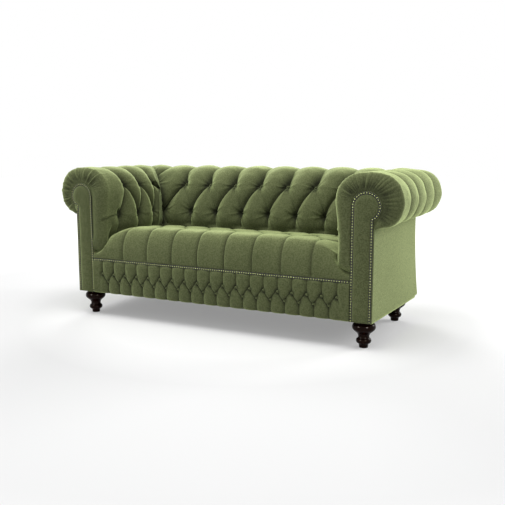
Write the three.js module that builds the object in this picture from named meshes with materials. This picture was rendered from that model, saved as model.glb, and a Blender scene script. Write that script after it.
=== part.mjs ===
import * as THREE from "three";

// Millimetres. Z is up, the floor is z = 0 and the open front faces -Y.
// "behind" is a distance measured back from the front plane of the arm facings.
// "across" is a distance out from the middle, along X.

// Whole sofa
const sofaDepth = 824;
const stripProud = 4; // nail strips stand in front of the facings
const fit = 0.3; // gap kept between two pieces that touch
const frontY = stripProud - sofaDepth / 2; // front plane of the facings

// Legs
const legHeight = 124;
const legRadius = 50;
const frontLegBehind = 66;
const rearLegBehind = 599;
const legSides = 16;
const studRadius = 4;
const studLength = 30;
const plateRadius = 30;
const coverThick = 2; // dust cover and leg plates
// share of the leg's height, share of its radius
const legShares = [
  [0, 0.36], [0.16, 0.4], [0.22, 0.5], [0.275, 0.62], [0.32, 0.6],
  [0.36, 0.48], [0.44, 0.47], [0.53, 0.58], [0.61, 0.8], [0.68, 0.95],
  [0.76, 1], [0.84, 0.96], [0.9, 0.86], [0.915, 0.8], [0.94, 0.84], [1, 0.8],
];

// Arm facings, the flat scroll-headed panels
const facingAcross = 800;
const facingWidth = 98;
const facingThick = 8;
const headRadius = 66;
const headHeight = 631; // height of the centre of the scroll head
const headSteps = 10;
const boardThick = 25;
const bottomHeight = legHeight + fit;
const frameHeight = bottomHeight + coverThick + fit;
const headAcross = facingAcross - facingWidth + headRadius;
const facingInner = facingAcross - facingWidth;
const legInset = 49; // from the outer edge of a facing to the middle of its leg
const legAcross = facingAcross - legInset;

// Nail strips
const stripWidth = 6;
const stripInset = 1;

// Frame timbers
const railThick = 30;
const railTop = 290.4;
const sideRailInset = 35; // from the outer edge of a facing
const sideRailInner = facingAcross - sideRailInset;
const sideRailTop = 260;
const blockHeight = 64;
const blockLong = 105;
const postSize = 45;
const postClear = 4.7; // from the rear rail to the rear posts
const uprightSize = 32;
const uprightAcross = 200;
const armPostBehind = 440;
const armPostSize = 30;
const tackRailThick = 32;
const tackRailFoot = 300;
const tackRailTop = 352;
const backTackThick = 27;
const braceWidth = 44;
const braceTop = 170;
const backLiningInset = 60; // the back lining stops short of its scroll rail
const liningThick = 2;

// Seat springs
const springApart = 180;
const springPairs = 3;
const springSwing = 22;
const springTurns = 9;
const wireHalf = 1.9;
const springCoverThick = 2.4;

// Outside panels
const panelThick = 3;
const panelDrop = 95; // from the centre of the scroll down to the top of the panels
const panelTop = headHeight - panelDrop;
const sideSweep = 30; // the side panel runs out this far by the rear
const sideFlare = 20; // and this much more at its foot
const sideTopRear = facingAcross + sideSweep;
const sideFootRear = sideTopRear + sideFlare;
const backTop = 700;
const backFootOut = 714;
const panelRadius = 50;
const seamInset = 20;
const seamAcross = facingAcross - seamInset;
const heightShares = [1, 0.6, 0.35, 0.15, 0];
const sideRailRear = backTop - panelThick * 2;

// Padded walls: inner face, how far they reach out, foot height and rise
const armPadThick = 137; // from the facing's inner edge to the fullest part of the pad
const armInner = facingInner - armPadThick;
const armReach = 358;
const armFoot = 430;
const rollAbove = 149; // from the centre of the scroll up to the top of the roll
const armRise = headHeight + rollAbove - armFoot;
const armShares = [
  [0.07, 0], [0.008, 0.129], [0, 0.289], [0.02, 0.486], [0.075, 0.677],
  [0.187, 0.854], [0.358, 0.969], [0.559, 1], [0.757, 0.966], [0.913, 0.849],
  [0.992, 0.7], [1, 0.577], [0.953, 0.429], [0.855, 0.337], [0.718, 0.304],
];
const backInner = 448;
const backReach = 372;
const backFoot = 430;
const backLift = 4; // the back's scroll sits this much higher than the arms'
const backHeadHeight = headHeight + backLift;
const backRise = backHeadHeight + rollAbove - backFoot;
const backShares = [
  [0.059, 0.028], [0.005, 0.141], [0.011, 0.285], [0.067, 0.48], [0.164, 0.669],
  [0.301, 0.845], [0.462, 0.963], [0.61, 1], [0.785, 0.96], [0.919, 0.842],
  [0.989, 0.695], [1, 0.571], [0.949, 0.424], [0.855, 0.333], [0.731, 0.301],
];
const lowRow = 2; // profile point that carries the lower button row
const highRow = 4; // profile point that carries the upper button row
const neckThick = 1;
const backNeck = sideRailRear + neckThick; // where the scroll of the back meets its outside panel
const linerFoot = tackRailTop + liningThick;
const tailHeight = panelTop + fit;
const tailWide = 22; // the cloth turns under the roll and ends flat over this
const innerRadius = 50; // plan radius at the inner face
const outerRadius = 90; // plan radius at the outermost roll
const armRailRear = backInner + innerRadius;
const backRailHalf = armInner + outerRadius;
const ringDepth = 32; // the gathered front end of an arm rounds off over this
const ringStart = 4;
const ringSteps = [0, 2, 5, 11, 20]; // behind the ring's start
const ringFirstShare = 0.25; // how full the ring stands at its very front
const ringNarrow = 58; // the front ring is this much thinner than the arm behind
const ringBlend = 170;
const coreHold = 0.6; // share of the corner over which the timber side stays straight

// Buttoning of the walls
const armPitch = 160;
const armFirstButton = 165;
const backPitch = 158.5;
const buttonDepth = 34;
const pleatDepth = 15;
const rollPleatDepth = 11;
const seamDepth = 26;
const rollSeamDepth = 7;

// Seat
const seatUnder = railTop + wireHalf * 2 + springCoverThick + fit * 3;
const seatCrest = 475;
const seatPitch = 148;
const seatTuft = 9;
const seatRear = 546;
const shoulderOut = 5; // the seat's shoulder lies this far out from the arm's foot
const shoulderLowShare = 0.9; // share of the crest rise at which the sides stop rising
// behind, height: shares of the seat depth and of the crest rise
const seatShares = [
  [0.008, 0], [0, 0.16], [-0.002, 0.39], [0.011, 0.62], [0.04, 0.81],
  [0.092, 0.95], [0.165, 1], [0.275, 0.994], [0.42, 0.96], [0.6, 0.913],
  [0.8, 0.849],
];
const backLinerFoot = seatRear + fit * 2;
const backLinerDrop = 48; // the back's stuffing slopes down this much under its foot
const backLinerHeight = backFoot + backShares[0][1] * backRise - backLinerDrop;
const backLiningHalf = backRailHalf - backLiningInset;

// Front border
const borderTop = seatUnder - fit;
const seatFrontHeight = borderTop + stripWidth + fit * 2;
const borderBack = 12;
const borderBulge = 5;
const borderPitch = 71.6;
const borderHigh = 224;
const borderLow = 188;
const borderTuft = 8;
const borderColumns = Math.floor((facingInner - fit) / (borderPitch / 2)); // each side

const velvet = new THREE.MeshStandardMaterial({ color: 0x67804a, roughness: 0.85, metalness: 0 });
const velvetFlat = new THREE.MeshStandardMaterial({ color: 0x5b7342, roughness: 0.85, metalness: 0 });
const beech = new THREE.MeshStandardMaterial({ color: 0xc9a673, roughness: 0.7, metalness: 0 });
const darkWood = new THREE.MeshStandardMaterial({ color: 0x1d100b, roughness: 0.25, metalness: 0 });
const steel = new THREE.MeshStandardMaterial({ color: 0x7d8084, roughness: 0.4, metalness: 0.9 });
const bronze = new THREE.MeshStandardMaterial({ color: 0x5f5a33, roughness: 0.4, metalness: 0.7 });
const hessian = new THREE.MeshStandardMaterial({ color: 0xb39a6b, roughness: 0.95, metalness: 0 });
const cambric = new THREE.MeshStandardMaterial({ color: 0x17171a, roughness: 0.9, metalness: 0 });

const sofa = new THREE.Group();
sofa.name = "chesterfield_sofa";

function addMesh(name, geometry, material) {
  const mesh = new THREE.Mesh(geometry, material);
  mesh.name = name;
  sofa.add(mesh);
}

// A block between two corners; the depths are measured behind the facings.
function addBlock(name, across, behind, height, material) {
  const size = [across[1] - across[0], behind[1] - behind[0], height[1] - height[0]];
  const geometry = new THREE.BoxGeometry(...size);
  const middle = [across, behind, height].map((pair) => (pair[0] + pair[1]) / 2);
  geometry.translate(middle[0], frontY + middle[1], middle[2]);
  addMesh(name, geometry, material);
}

function shapeOf(points, holes = []) {
  const shape = new THREE.Shape(points.map((p) => new THREE.Vector2(p[0], p[1])));
  shape.holes = holes;
  return shape;
}

// An outline in across and height, drawn out from front to rear.
function addFrontPrism(name, points, behind, material) {
  const depth = behind[1] - behind[0];
  const geometry = new THREE.ExtrudeGeometry(shapeOf(points), { depth, bevelEnabled: false });
  geometry.rotateX(Math.PI / 2);
  geometry.translate(0, frontY + behind[1], 0);
  addMesh(name, geometry, material);
}

// An outline in behind and height, drawn out along X.
function addSidePrism(name, points, half, material) {
  const moved = points.map((p) => [frontY + p[0], p[1]]);
  const depth = half * 2;
  const geometry = new THREE.ExtrudeGeometry(shapeOf(moved), { depth, bevelEnabled: false });
  const turn = new THREE.Matrix4().makeBasis(
    new THREE.Vector3(0, 1, 0),
    new THREE.Vector3(0, 0, 1),
    new THREE.Vector3(1, 0, 0),
  );
  geometry.applyMatrix4(turn);
  geometry.translate(-half, 0, 0);
  addMesh(name, geometry, material);
}

// An outline in across and behind, drawn up.
function addPlanPrism(name, points, height, material, holes = []) {
  const moved = points.map((p) => [p[0], frontY + p[1]]);
  const depth = height[1] - height[0];
  const geometry = new THREE.ExtrudeGeometry(shapeOf(moved, holes), { depth, bevelEnabled: false });
  geometry.translate(0, 0, height[0]);
  addMesh(name, geometry, material);
}

function signedArea(flat) {
  let sum = 0;
  flat.forEach((p, i) => {
    const q = flat[(i + 1) % flat.length];
    sum += p[0] * q[1] - q[0] * p[1];
  });
  return sum / 2;
}

// Triangles that close one end of a loft, all turned the way the outline runs.
function capTriangles(flat) {
  const outline = flat.map((p) => new THREE.Vector2(p[0], p[1]));
  const way = Math.sign(signedArea(flat));
  return THREE.ShapeUtils.triangulateShape(outline, []).map(([a, b, c]) => {
    const turned = signedArea([flat[a], flat[b], flat[c]]) * way > 0;
    return turned ? [a, b, c] : [a, c, b];
  });
}

function meshVolume(places, faces) {
  let sum = 0;
  for (const [a, b, c] of faces) {
    const [p, q, r] = [places[a], places[b], places[c]];
    sum += p[0] * (q[1] * r[2] - q[2] * r[1]);
    sum -= p[1] * (q[0] * r[2] - q[2] * r[0]);
    sum += p[2] * (q[0] * r[1] - q[1] * r[0]);
  }
  return sum;
}

// A body skinned over closed rings of points; each ring also has flat points for its cap.
function addLoft(name, rings, material) {
  const count = rings[0].points.length;
  const places = rings.flatMap((ring) => ring.points);
  const faces = [];
  for (let r = 0; r + 1 < rings.length; r += 1) {
    for (let i = 0; i < count; i += 1) {
      const next = (i + 1) % count;
      const [a, b] = [r * count + i, r * count + next];
      const [c, d] = [a + count, b + count];
      faces.push([a, b, d], [a, d, c]);
    }
  }
  const last = rings.length - 1;
  capTriangles(rings[0].flat).forEach(([a, b, c]) => faces.push([a, c, b]));
  capTriangles(rings[last].flat).forEach((t) => faces.push(t.map((i) => i + last * count)));
  const out = meshVolume(places, faces) > 0;
  const order = faces.flatMap(([a, b, c]) => (out ? [a, b, c] : [a, c, b]));
  const geometry = new THREE.BufferGeometry();
  const flatPlaces = places.flatMap(([x, behind, z]) => [x, frontY + behind, z]);
  geometry.setAttribute("position", new THREE.Float32BufferAttribute(flatPlaces, 3));
  geometry.setIndex(order);
  geometry.computeVertexNormals();
  addMesh(name, geometry, material);
}

function smooth(value) {
  const v = Math.min(1, Math.max(0, value));
  return v * v * (3 - 2 * v);
}

// Height of a rounded puff: none at its fold, full half-way to the next fold.
function puff(share) {
  const left = 1 - Math.min(1, Math.max(0, share));
  return Math.sqrt(1 - left * left);
}

// Scroll head: from the inner side, over the top, down to the neck.
function headArc(centre, height, radius, neck, steps = headSteps) {
  const finish = -Math.acos((neck - centre) / radius);
  const points = [];
  for (let i = 0; i <= steps; i += 1) {
    const angle = Math.PI + ((finish - Math.PI) * i) / steps;
    points.push([centre + radius * Math.cos(angle), height + radius * Math.sin(angle)]);
  }
  return points;
}

function mirrored(points, side) {
  return points.map((p) => [p[0] * side, p[1]]);
}

// The keyhole outline of a facing, grown outwards by "grow".
function facingOutline(grow, foot) {
  const radius = headRadius + grow;
  const arc = headArc(headAcross, headHeight, radius, facingAcross + grow);
  return [[facingInner - grow, foot], ...arc, [facingAcross + grow, foot]];
}

// A scroll rail fills the head and has a flat seat under it for its posts.
function scrollOutline(centre, height, neck) {
  const arc = headArc(centre, height, headRadius, neck);
  const foot = arc[arc.length - 1][1];
  return [...arc, [centre, foot]];
}

const armWall = {
  inner: armInner, reach: armReach, foot: armFoot, rise: armRise, shares: armShares,
  head: headAcross, headHeight, neck: facingAcross, liner: facingInner, linerHeight: linerFoot,
};
const backWall = {
  inner: backInner, reach: backReach, foot: backFoot, rise: backRise, shares: backShares,
  head: backNeck - (facingAcross - headAcross), headHeight: backHeadHeight,
  neck: backNeck, liner: backLinerFoot, linerHeight: backLinerHeight,
};

// Outer cloth of a wall: distance out from the inner face, and height.
function clothPoints(wall) {
  const points = wall.shares.map(([out, up]) => [out * wall.reach, wall.foot + up * wall.rise]);
  points[points.length - 1] = [wall.neck + fit + tailWide - wall.inner, tailHeight];
  return points;
}

// Hidden side of a wall's stuffing, from its tail round the scroll to its foot.
function corePoints(wall) {
  const arc = headArc(wall.head, wall.headHeight, headRadius + fit, wall.neck + fit);
  const foot = [wall.liner - fit, wall.linerHeight];
  const points = [[wall.neck + fit, tailHeight], ...arc.reverse(), foot];
  return points.map(([across, height]) => [across - wall.inner, height]);
}

// The hidden point that lies behind each cloth point.
function corePartners(wall) {
  const core = corePoints(wall).reverse();
  const [foot, start, tail] = [core[0], core[1], core[core.length - 1]];
  return clothPoints(wall).map((point, i) => {
    if (i <= highRow - 1) {
      const share = Math.min(1, (point[1] - foot[1]) / (start[1] - foot[1]));
      return [foot[0] + (start[0] - foot[0]) * share, foot[1] + (start[1] - foot[1]) * share];
    }
    const spot = ((i - highRow + 1) / (wall.shares.length - highRow)) * headSteps + 1;
    const at = Math.min(core.length - 1, Math.floor(spot));
    const next = core[Math.min(core.length - 1, at + 1)];
    const part = spot - at;
    return i === wall.shares.length - 1
      ? tail
      : [core[at][0] * (1 - part) + next[0] * part, core[at][1] * (1 - part) + next[1] * part];
  });
}

// How far the cloth is pulled in: diamonds between the two button rows,
// pleats straight down from the lower row and straight over the roll from the upper row.
function wallTuft(along, row, pitch, first, seamAway) {
  const place = (along - first) / pitch;
  const toHalf = Math.abs(place - (Math.floor(place) + 0.5));
  const rise = Math.min(1, Math.max(0, (row - lowRow) / (highRow - lowRow)));
  const upper = toHalf < rise / 2 || rise === 1;
  const size = upper ? rise : 1 - rise;
  const away = upper ? (rise / 2 - toHalf) * 2 : (toHalf - rise / 2) * 2;
  const lift = size > 0 ? Math.sqrt(size) * puff(away / size) : 0;
  const belowShare = Math.min(1, row / lowRow);
  const aboveShare = Math.min(1, Math.max(0, (row - highRow) / highRow));
  const below = pleatDepth + (buttonDepth - pleatDepth) * belowShare;
  const above = buttonDepth + (rollPleatDepth - buttonDepth) * smooth(aboveShare);
  const depth = row <= highRow ? below : above;
  const deep = row <= highRow ? seamDepth : seamDepth + (rollSeamDepth - seamDepth) * smooth(aboveShare);
  const seam = deep * (1 - puff(seamAway / (pitch / 2)));
  const front = place < -1 + rise / 2 ? 0 : depth * (1 - lift);
  return Math.max(front, seam);
}

// Where a point of a wall stands in plan. The wall runs straight, then fans round to the mitre.
function planPlace(out, fan, straight) {
  const radius = innerRadius + (outerRadius - innerRadius) * Math.min(1, out / armReach);
  const bend = backInner + out - radius;
  const rest = bend - straight + (radius * Math.PI) / 4;
  const gone = fan * rest;
  if (gone <= bend - straight) return { out, along: straight + gone, away: rest - gone };
  const angle = (gone - (bend - straight)) / radius;
  return {
    out: out - radius + radius * Math.cos(angle),
    along: bend + radius * Math.sin(angle),
    away: rest - gone,
  };
}

const wallStraight = backInner - innerRadius;

function blend(a, b, share) {
  return a.map((value, i) => value + (b[i] - value) * share);
}

// A wall's own section turns into the mean of arm and back by the time it reaches the mitre.
function sectionAt(own, other, fan) {
  const clothShare = smooth(fan) / 2;
  const coreShare = smooth((fan - coreHold) / (1 - coreHold)) / 2;
  const mix = (make, share) => {
    const far = make(other);
    return make(own).map((point, i) => blend(point, far[i], share));
  };
  return {
    cloth: mix(clothPoints, clothShare),
    partners: mix(corePartners, coreShare),
    core: mix(corePoints, coreShare),
  };
}

// One section of an arm: cloth pulled in by the tufting, then the hidden side.
function armRing(behind, fan, side) {
  const section = sectionAt(armWall, backWall, fan);
  const full = ringFirstShare + (1 - ringFirstShare) * puff((behind - ringStart) / ringDepth);
  const narrow = ringNarrow * (1 - smooth((behind - ringDepth) / ringBlend));
  const last = section.cloth.length - 1;
  const cloth = section.cloth.map((point, row) => {
    const thin = narrow * (1 - smooth((row - lowRow) / highRow));
    const start = [point[0] + thin, point[1]];
    const core = section.partners[row];
    const place = planPlace(start[0], fan, fan > 0 ? wallStraight : behind);
    const along = fan > 0 ? place.along : behind;
    const away = fan > 0 ? place.away : wallStraight;
    const ends = row === 0 || row === last ? 0 : 1;
    const pull = wallTuft(along, row, armPitch, armFirstButton, away) * ends;
    const thick = Math.hypot(core[0] - start[0], core[1] - start[1]);
    return blend(core, start, full * (1 - pull / thick));
  });
  const flat = [...cloth, ...section.core];
  const points = flat.map(([out, height]) => {
    const place = fan > 0 ? planPlace(out, fan, wallStraight) : { out, along: behind };
    return [side * (armInner + place.out), place.along, height];
  });
  return { flat, points };
}

function addArmPad(name, side) {
  const front = ringSteps.map((step) => ringStart + step);
  const stops = [...front, ringStart + ringDepth, (armFirstButton * 2) / 5];
  for (let at = armFirstButton - armPitch / 2; at < wallStraight; at += armPitch / 4) stops.push(at);
  stops.push(wallStraight);
  const rings = stops.map((behind) => armRing(behind, 0, side));
  const fans = 8;
  for (let i = 1; i <= fans; i += 1) rings.push(armRing(wallStraight, i / fans, side));
  addLoft(name, rings, velvet);
}

// One section of the back, at "fan" from the mitre (0 to 1) or "across" on the straight.
function backRing(fan, across, side) {
  const { cloth: cloths, partners, core } = sectionAt(backWall, armWall, fan);
  const straight = armInner - innerRadius;
  const spot = (out) => {
    if (fan <= 0) return { out, along: across, away: straight };
    const place = planPlace(out, fan, wallStraight);
    return { ...place, along: place.along - backInner + armInner };
  };
  const cloth = cloths.map((start, row) => {
    const place = spot(start[0]);
    const ends = row === 0 || row === cloths.length - 1 ? 0 : 1;
    const pull = wallTuft(place.along, row, backPitch, 0, place.away) * ends;
    const thick = Math.hypot(partners[row][0] - start[0], partners[row][1] - start[1]);
    return blend(partners[row], start, 1 - pull / thick);
  });
  const flat = [...cloth, ...core];
  const points = flat.map(([out, height]) => {
    const place = spot(out);
    return [side * place.along, backInner + place.out, height];
  });
  return { flat, points };
}

function addBackPad(name) {
  const half = [];
  const fans = 7;
  for (let i = fans; i >= 1; i -= 1) half.push([i / fans, 0]);
  const straight = armInner - innerRadius;
  half.push([0, straight]);
  const quarter = backPitch / 4;
  for (let i = Math.floor(straight / quarter); i > 0; i -= 1) half.push([0, i * quarter]);
  const left = half.map(([fan, across]) => backRing(fan, across, -1));
  const right = half.map(([fan, across]) => backRing(fan, across, 1)).reverse();
  addLoft(name, [...left, backRing(0, 0, 1), ...right], velvet);
}

// The seat runs out under the arm's foot and stays just clear of its stuffing.
const armFootAcross = armInner + armShares[0][0] * armReach;
const footSlope = (armFoot - linerFoot) / (facingInner - fit - armFootAcross);
const shoulderAcross = armFootAcross + shoulderOut;

// Top of the seat at the shoulder, falling from the dome to the facing.
function shoulderHeight(across) {
  const out = Math.max(across, shoulderAcross) - armFootAcross;
  return armFoot - fit * 2 - out * footSlope;
}

// It runs back under the foot of the back in the same way.
const backFootHeight = backFoot + backShares[0][1] * backRise;
const rearRows = [
  [backInner + backShares[0][0] * backReach - fit * 3, backFootHeight - fit * 3],
  [seatRear, backLinerHeight - fit * 3],
];
const crestRise = seatCrest - seatFrontHeight;
const seatRows = [
  ...seatShares.map(([back, rise]) => [back * seatRear, rise]),
  ...rearRows.map(([behind, height]) => [behind, (height - seatFrontHeight) / crestRise]),
];

function seatHeight(across, rise) {
  const crest = seatFrontHeight + rise * crestRise;
  const share = Math.max(0, 1 - (across / shoulderAcross) ** 6);
  const shoulder = shoulderHeight(across) - seatFrontHeight;
  const low = seatFrontHeight + shoulder * Math.min(1, rise / shoulderLowShare);
  return Math.min(crest, low + (crest - low) * share);
}

function seatPull(across, i) {
  const place = Math.abs(across) / seatPitch + 0.5;
  const away = Math.abs(place - Math.round(place)) * 2;
  const fades = i === 0 || i > 10 || Math.abs(across) > shoulderAcross ? 0 : 1;
  return seatTuft * (1 - puff(away)) * fades;
}

function seatRing(across) {
  const top = seatRows.map(([back, rise], i) => {
    const pull = seatPull(across, i);
    const lean = Math.max(0, 1 - rise);
    const behind = back + pull * lean;
    return [behind, seatHeight(Math.abs(across), rise) - pull * (1 - lean)];
  });
  const flat = [...top, [seatRear, seatUnder], [borderBack, seatUnder]];
  return { flat, points: flat.map(([behind, height]) => [across, behind, height]) };
}

function addSeat(name) {
  const quarter = seatPitch / 4;
  const half = [facingInner - fit, (facingInner + shoulderAcross) / 2, shoulderAcross];
  for (let i = Math.floor(shoulderAcross / quarter - 0.2); i > 0; i -= 1) half.push(i * quarter);
  const all = [...half.map((x) => -x), 0, ...half.reverse()];
  addLoft(name, all.map(seatRing), velvet);
}

function borderRing(across) {
  const column = Math.abs(Math.round((across / borderPitch) * 2));
  const inside = column < borderColumns;
  const upperFold = inside && column % 2 === 0 ? borderTuft : 0;
  const lowerFold = inside && column % 2 === 1 ? borderTuft : 0;
  const flat = [
    [borderBulge + upperFold / 2, borderTop],
    [-borderBulge / 2 + upperFold, (borderTop + borderHigh) / 2],
    [-borderBulge / 2 + upperFold, borderHigh],
    [-borderBulge / 2 + lowerFold, borderLow],
    [-borderBulge / 2 + lowerFold, (borderLow + bottomHeight) / 2],
    [borderBulge + lowerFold / 2, bottomHeight],
    [borderBack, bottomHeight],
    [borderBack, borderTop],
  ];
  return { flat, points: flat.map(([behind, height]) => [across, behind, height]) };
}

function addBorder(name) {
  const half = [facingInner - fit];
  for (let i = borderColumns; i > 0; i -= 1) half.push((i * borderPitch) / 2);
  const all = [...half.map((x) => -x), 0, ...half.reverse()];
  addLoft(name, all.map(borderRing), velvet);
}

// Outside panels are nearly plumb and sweep out a little towards the floor.
function flare(height) {
  const share = (panelTop - height) / (panelTop - bottomHeight);
  return share * share;
}

const panelHeights = heightShares.map(
  (share) => bottomHeight + (panelTop - bottomHeight) * share,
);

function panelLoop(placeAt) {
  const outside = panelHeights.map((height) => placeAt(height, 0));
  const inside = panelHeights.map((height) => placeAt(height, panelThick)).reverse();
  return [...outside, ...inside];
}

function sideAcross(height, behind) {
  const rear = sideTopRear + (sideFootRear - sideTopRear) * flare(height);
  const front = facingAcross + fit + panelThick;
  return front + ((rear - front) * behind) / backTop;
}

function backOut(height) {
  return backTop + (backFootOut - backTop) * flare(height);
}

function addOutsideArm(name, side) {
  const rings = [];
  const straightSteps = 5;
  const cornerSteps = 5;
  const loopAt = (place) => {
    const points = panelLoop(place);
    const flat = panelLoop((height, inset) => [inset, height]);
    rings.push({ flat, points: points.map(([x, y, z]) => [side * x, y, z]) });
  };
  for (let i = 0; i <= straightSteps; i += 1) {
    loopAt((height, inset) => {
      const finish = backOut(height) - panelRadius;
      const behind = fit + ((finish - fit) * i) / straightSteps;
      return [sideAcross(height, behind) - inset, behind, height];
    });
  }
  for (let i = 1; i <= cornerSteps; i += 1) {
    const angle = (Math.PI / 2) * (i / cornerSteps);
    loopAt((height, inset) => {
      const centre = backOut(height) - panelRadius;
      const radius = panelRadius - inset;
      const x = sideAcross(height, centre) - panelRadius + radius * Math.cos(angle);
      return [x, centre + radius * Math.sin(angle), height];
    });
  }
  loopAt((height, inset) => [seamAcross, backOut(height) - inset, height]);
  addLoft(name, rings, velvetFlat);
}

function addOutsideBack(name) {
  const outside = panelHeights.map((height) => [backOut(height), height]);
  const inside = panelHeights.map((height) => [backOut(height) - panelThick, height]).reverse();
  addSidePrism(name, [...outside, ...inside], seamAcross - fit, velvetFlat);
}

function addFacing(name, side) {
  addFrontPrism(name, mirrored(facingOutline(0, bottomHeight), side), [0, facingThick], velvetFlat);
}

// The line of nails round a facing is one thin strip, open at the floor.
function addNailStrip(name, side) {
  const outer = facingOutline(-stripInset, bottomHeight);
  const inner = facingOutline(-stripInset - stripWidth, bottomHeight).reverse();
  addFrontPrism(name, mirrored([...outer, ...inner], side), [-stripProud, -fit], bronze);
}

function addFrontStrip(name) {
  const half = facingInner - fit;
  const behind = [-stripProud, 0];
  addBlock(name, [-half, half], behind, [borderTop + fit, seatFrontHeight - fit], bronze);
}

function sideRailOuter(behind) {
  return sideAcross(sideRailTop, behind) - panelThick - fit;
}

const rearFront = sideRailRear - uprightSize - fit; // front face of the rear rail
const postRear = rearFront - postClear;

function addRails() {
  const front = facingThick + fit;
  const railFront = borderBack + fit;
  const railBack = railFront + railThick;
  const half = facingInner - fit;
  addBlock("front_rail", [-half, half], [railFront, railBack], [frameHeight, railTop], beech);
  const rearHalf = sideRailInner - fit;
  addBlock("rear_rail", [-rearHalf, rearHalf], [rearFront, sideRailRear], [frameHeight, railTop], beech);
  const start = front + boardThick + fit;
  const brace = [railBack + fit, rearFront - fit];
  addBlock("centre_brace", [-braceWidth / 2, braceWidth / 2], brace, [frameHeight, braceTop], beech);
  for (const [word, side] of [["left", -1], ["right", 1]]) {
    const plan = [
      [sideRailInner, start],
      [sideRailOuter(start), start],
      [sideRailOuter(sideRailRear - panelRadius), sideRailRear - panelRadius],
      [sideRailInner + panelRadius / 2, sideRailRear],
      [sideRailInner, sideRailRear],
    ];
    addPlanPrism(`side_rail_${word}`, mirrored(plan, side), [frameHeight, sideRailTop], beech);
    const inner = side * (sideRailInner - fit);
    const far = side * (sideRailInner - blockLong);
    const frontBlock = [[far, railBack + fit], [inner, railBack + fit], [inner, railBack + blockLong]];
    addPlanPrism(`front_block_${word}`, frontBlock, [frameHeight, frameHeight + blockHeight], beech);
    const rearLine = rearFront - fit;
    const rearBlock = [[far, rearLine], [inner, rearLine], [inner, rearLine - blockLong]];
    addPlanPrism(`rear_block_${word}`, rearBlock, [frameHeight, frameHeight + blockHeight], beech);
  }
}

function addArmFrame(word, side) {
  const front = facingThick + fit;
  const start = front + boardThick + fit;
  addFrontPrism(
    `front_board_${word}`,
    mirrored(facingOutline(0, frameHeight), side),
    [front, front + boardThick],
    beech,
  );
  const scroll = mirrored(scrollOutline(headAcross, headHeight, facingAcross), side);
  addFrontPrism(`arm_scroll_rail_${word}`, scroll, [start, armRailRear], beech);
  const seat = headArc(headAcross, headHeight, headRadius, facingAcross)[headSteps][1];
  const order = (a, b) => [Math.min(side * a, side * b), Math.max(side * a, side * b)];
  const post = order(headAcross, headAcross + armPostSize);
  const along = [armPostBehind, armPostBehind + armPostSize];
  addBlock(`arm_post_${word}`, post, along, [sideRailTop + fit, seat - fit], beech);
  const tack = order(facingInner + fit, facingInner + tackRailThick);
  const postFront = postRear - postSize;
  addBlock(`arm_tack_rail_${word}`, tack, [start, postFront - fit], [tackRailFoot, tackRailTop], beech);
  const lining = order(facingInner + fit, facingInner + fit + liningThick);
  const liningTop = headHeight - fit - liningThick;
  addBlock(`arm_lining_${word}`, lining, [start, armRailRear], [tackRailTop + fit, liningTop], hessian);
  const rear = order(sideRailInner - fit - postSize, sideRailInner - fit);
  const postFoot = frameHeight + blockHeight + fit;
  addBlock(`rear_post_${word}`, rear, [postFront, postRear], [postFoot, seat - fit], beech);
}

function addBackFrame() {
  const scroll = scrollOutline(backWall.head, backHeadHeight, backNeck);
  addSidePrism("back_scroll_rail", scroll, backRailHalf, beech);
  const seat = scroll[headSteps][1];
  for (const [word, side] of [["left", -1], ["right", 1]]) {
    const edges = [side * uprightAcross, side * (uprightAcross + uprightSize)];
    const across = [Math.min(...edges), Math.max(...edges)];
    const behind = [sideRailRear - uprightSize, sideRailRear];
    addBlock(`back_upright_${word}`, across, behind, [railTop + fit, seat - fit], beech);
  }
  const half = facingInner - fit;
  const tack = [backLinerFoot + liningThick, backLinerFoot + liningThick + backTackThick];
  addBlock("back_tack_rail", [-half, half], tack, [tackRailFoot, tackRailTop], beech);
  const slope = (backWall.head - headRadius - backLinerFoot) / (backHeadHeight - backLinerHeight);
  const foot = tackRailTop + fit;
  const top = backHeadHeight - fit - liningThick * 2;
  const line = (height) => backLinerFoot + (height - backLinerHeight) * slope + fit;
  const bend = backLinerHeight;
  const outline = [
    [line(bend), foot],
    [line(bend) + liningThick, foot],
    [line(bend) + liningThick, bend],
    [line(top) + liningThick, top],
    [line(top), top],
    [line(bend), bend],
  ];
  addSidePrism("back_lining", outline, backLiningHalf, hessian);
}

function addSpring(name, across) {
  const start = borderBack + railThick / 2;
  const finish = sideRailRear - railThick / 2;
  const height = railTop + fit + wireHalf;
  const points = [];
  const steps = springTurns * 4;
  for (let i = 0; i <= steps; i += 1) {
    const behind = start + ((finish - start) * i) / steps;
    const swing = springSwing * Math.sin((springTurns * Math.PI * 2 * i) / steps);
    points.push([across + swing, behind]);
  }
  const corners = [[-1, -1], [1, -1], [1, 1], [-1, 1]];
  const rings = points.map(([x, behind]) => {
    const flat = corners.map(([u, v]) => [u * wireHalf, v * wireHalf]);
    return { flat, points: flat.map(([u, v]) => [x + u, behind, height + v]) };
  });
  addLoft(name, rings, steel);
}

function addSeatDeck() {
  for (let i = 0; i < springPairs; i += 1) {
    const across = springApart * (i + 0.5);
    addSpring(`spring_left_${i + 1}`, -across);
    addSpring(`spring_right_${i + 1}`, across);
  }
  const half = facingInner - fit;
  const foot = seatUnder - fit - springCoverThick;
  const behind = [borderBack + fit, seatRear];
  addBlock("spring_cover", [-half, half], behind, [foot, foot + springCoverThick], hessian);
}

const legPlaces = [
  ["front_left", -1, frontLegBehind],
  ["front_right", 1, frontLegBehind],
  ["rear_left", -1, rearLegBehind],
  ["rear_right", 1, rearLegBehind],
];

function lathed(profile, across, behind, sides) {
  const points = profile.map(([radius, height]) => new THREE.Vector2(radius, height));
  const geometry = new THREE.LatheGeometry(points, sides);
  geometry.rotateX(Math.PI / 2);
  geometry.translate(across, frontY + behind, 0);
  return geometry;
}

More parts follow.
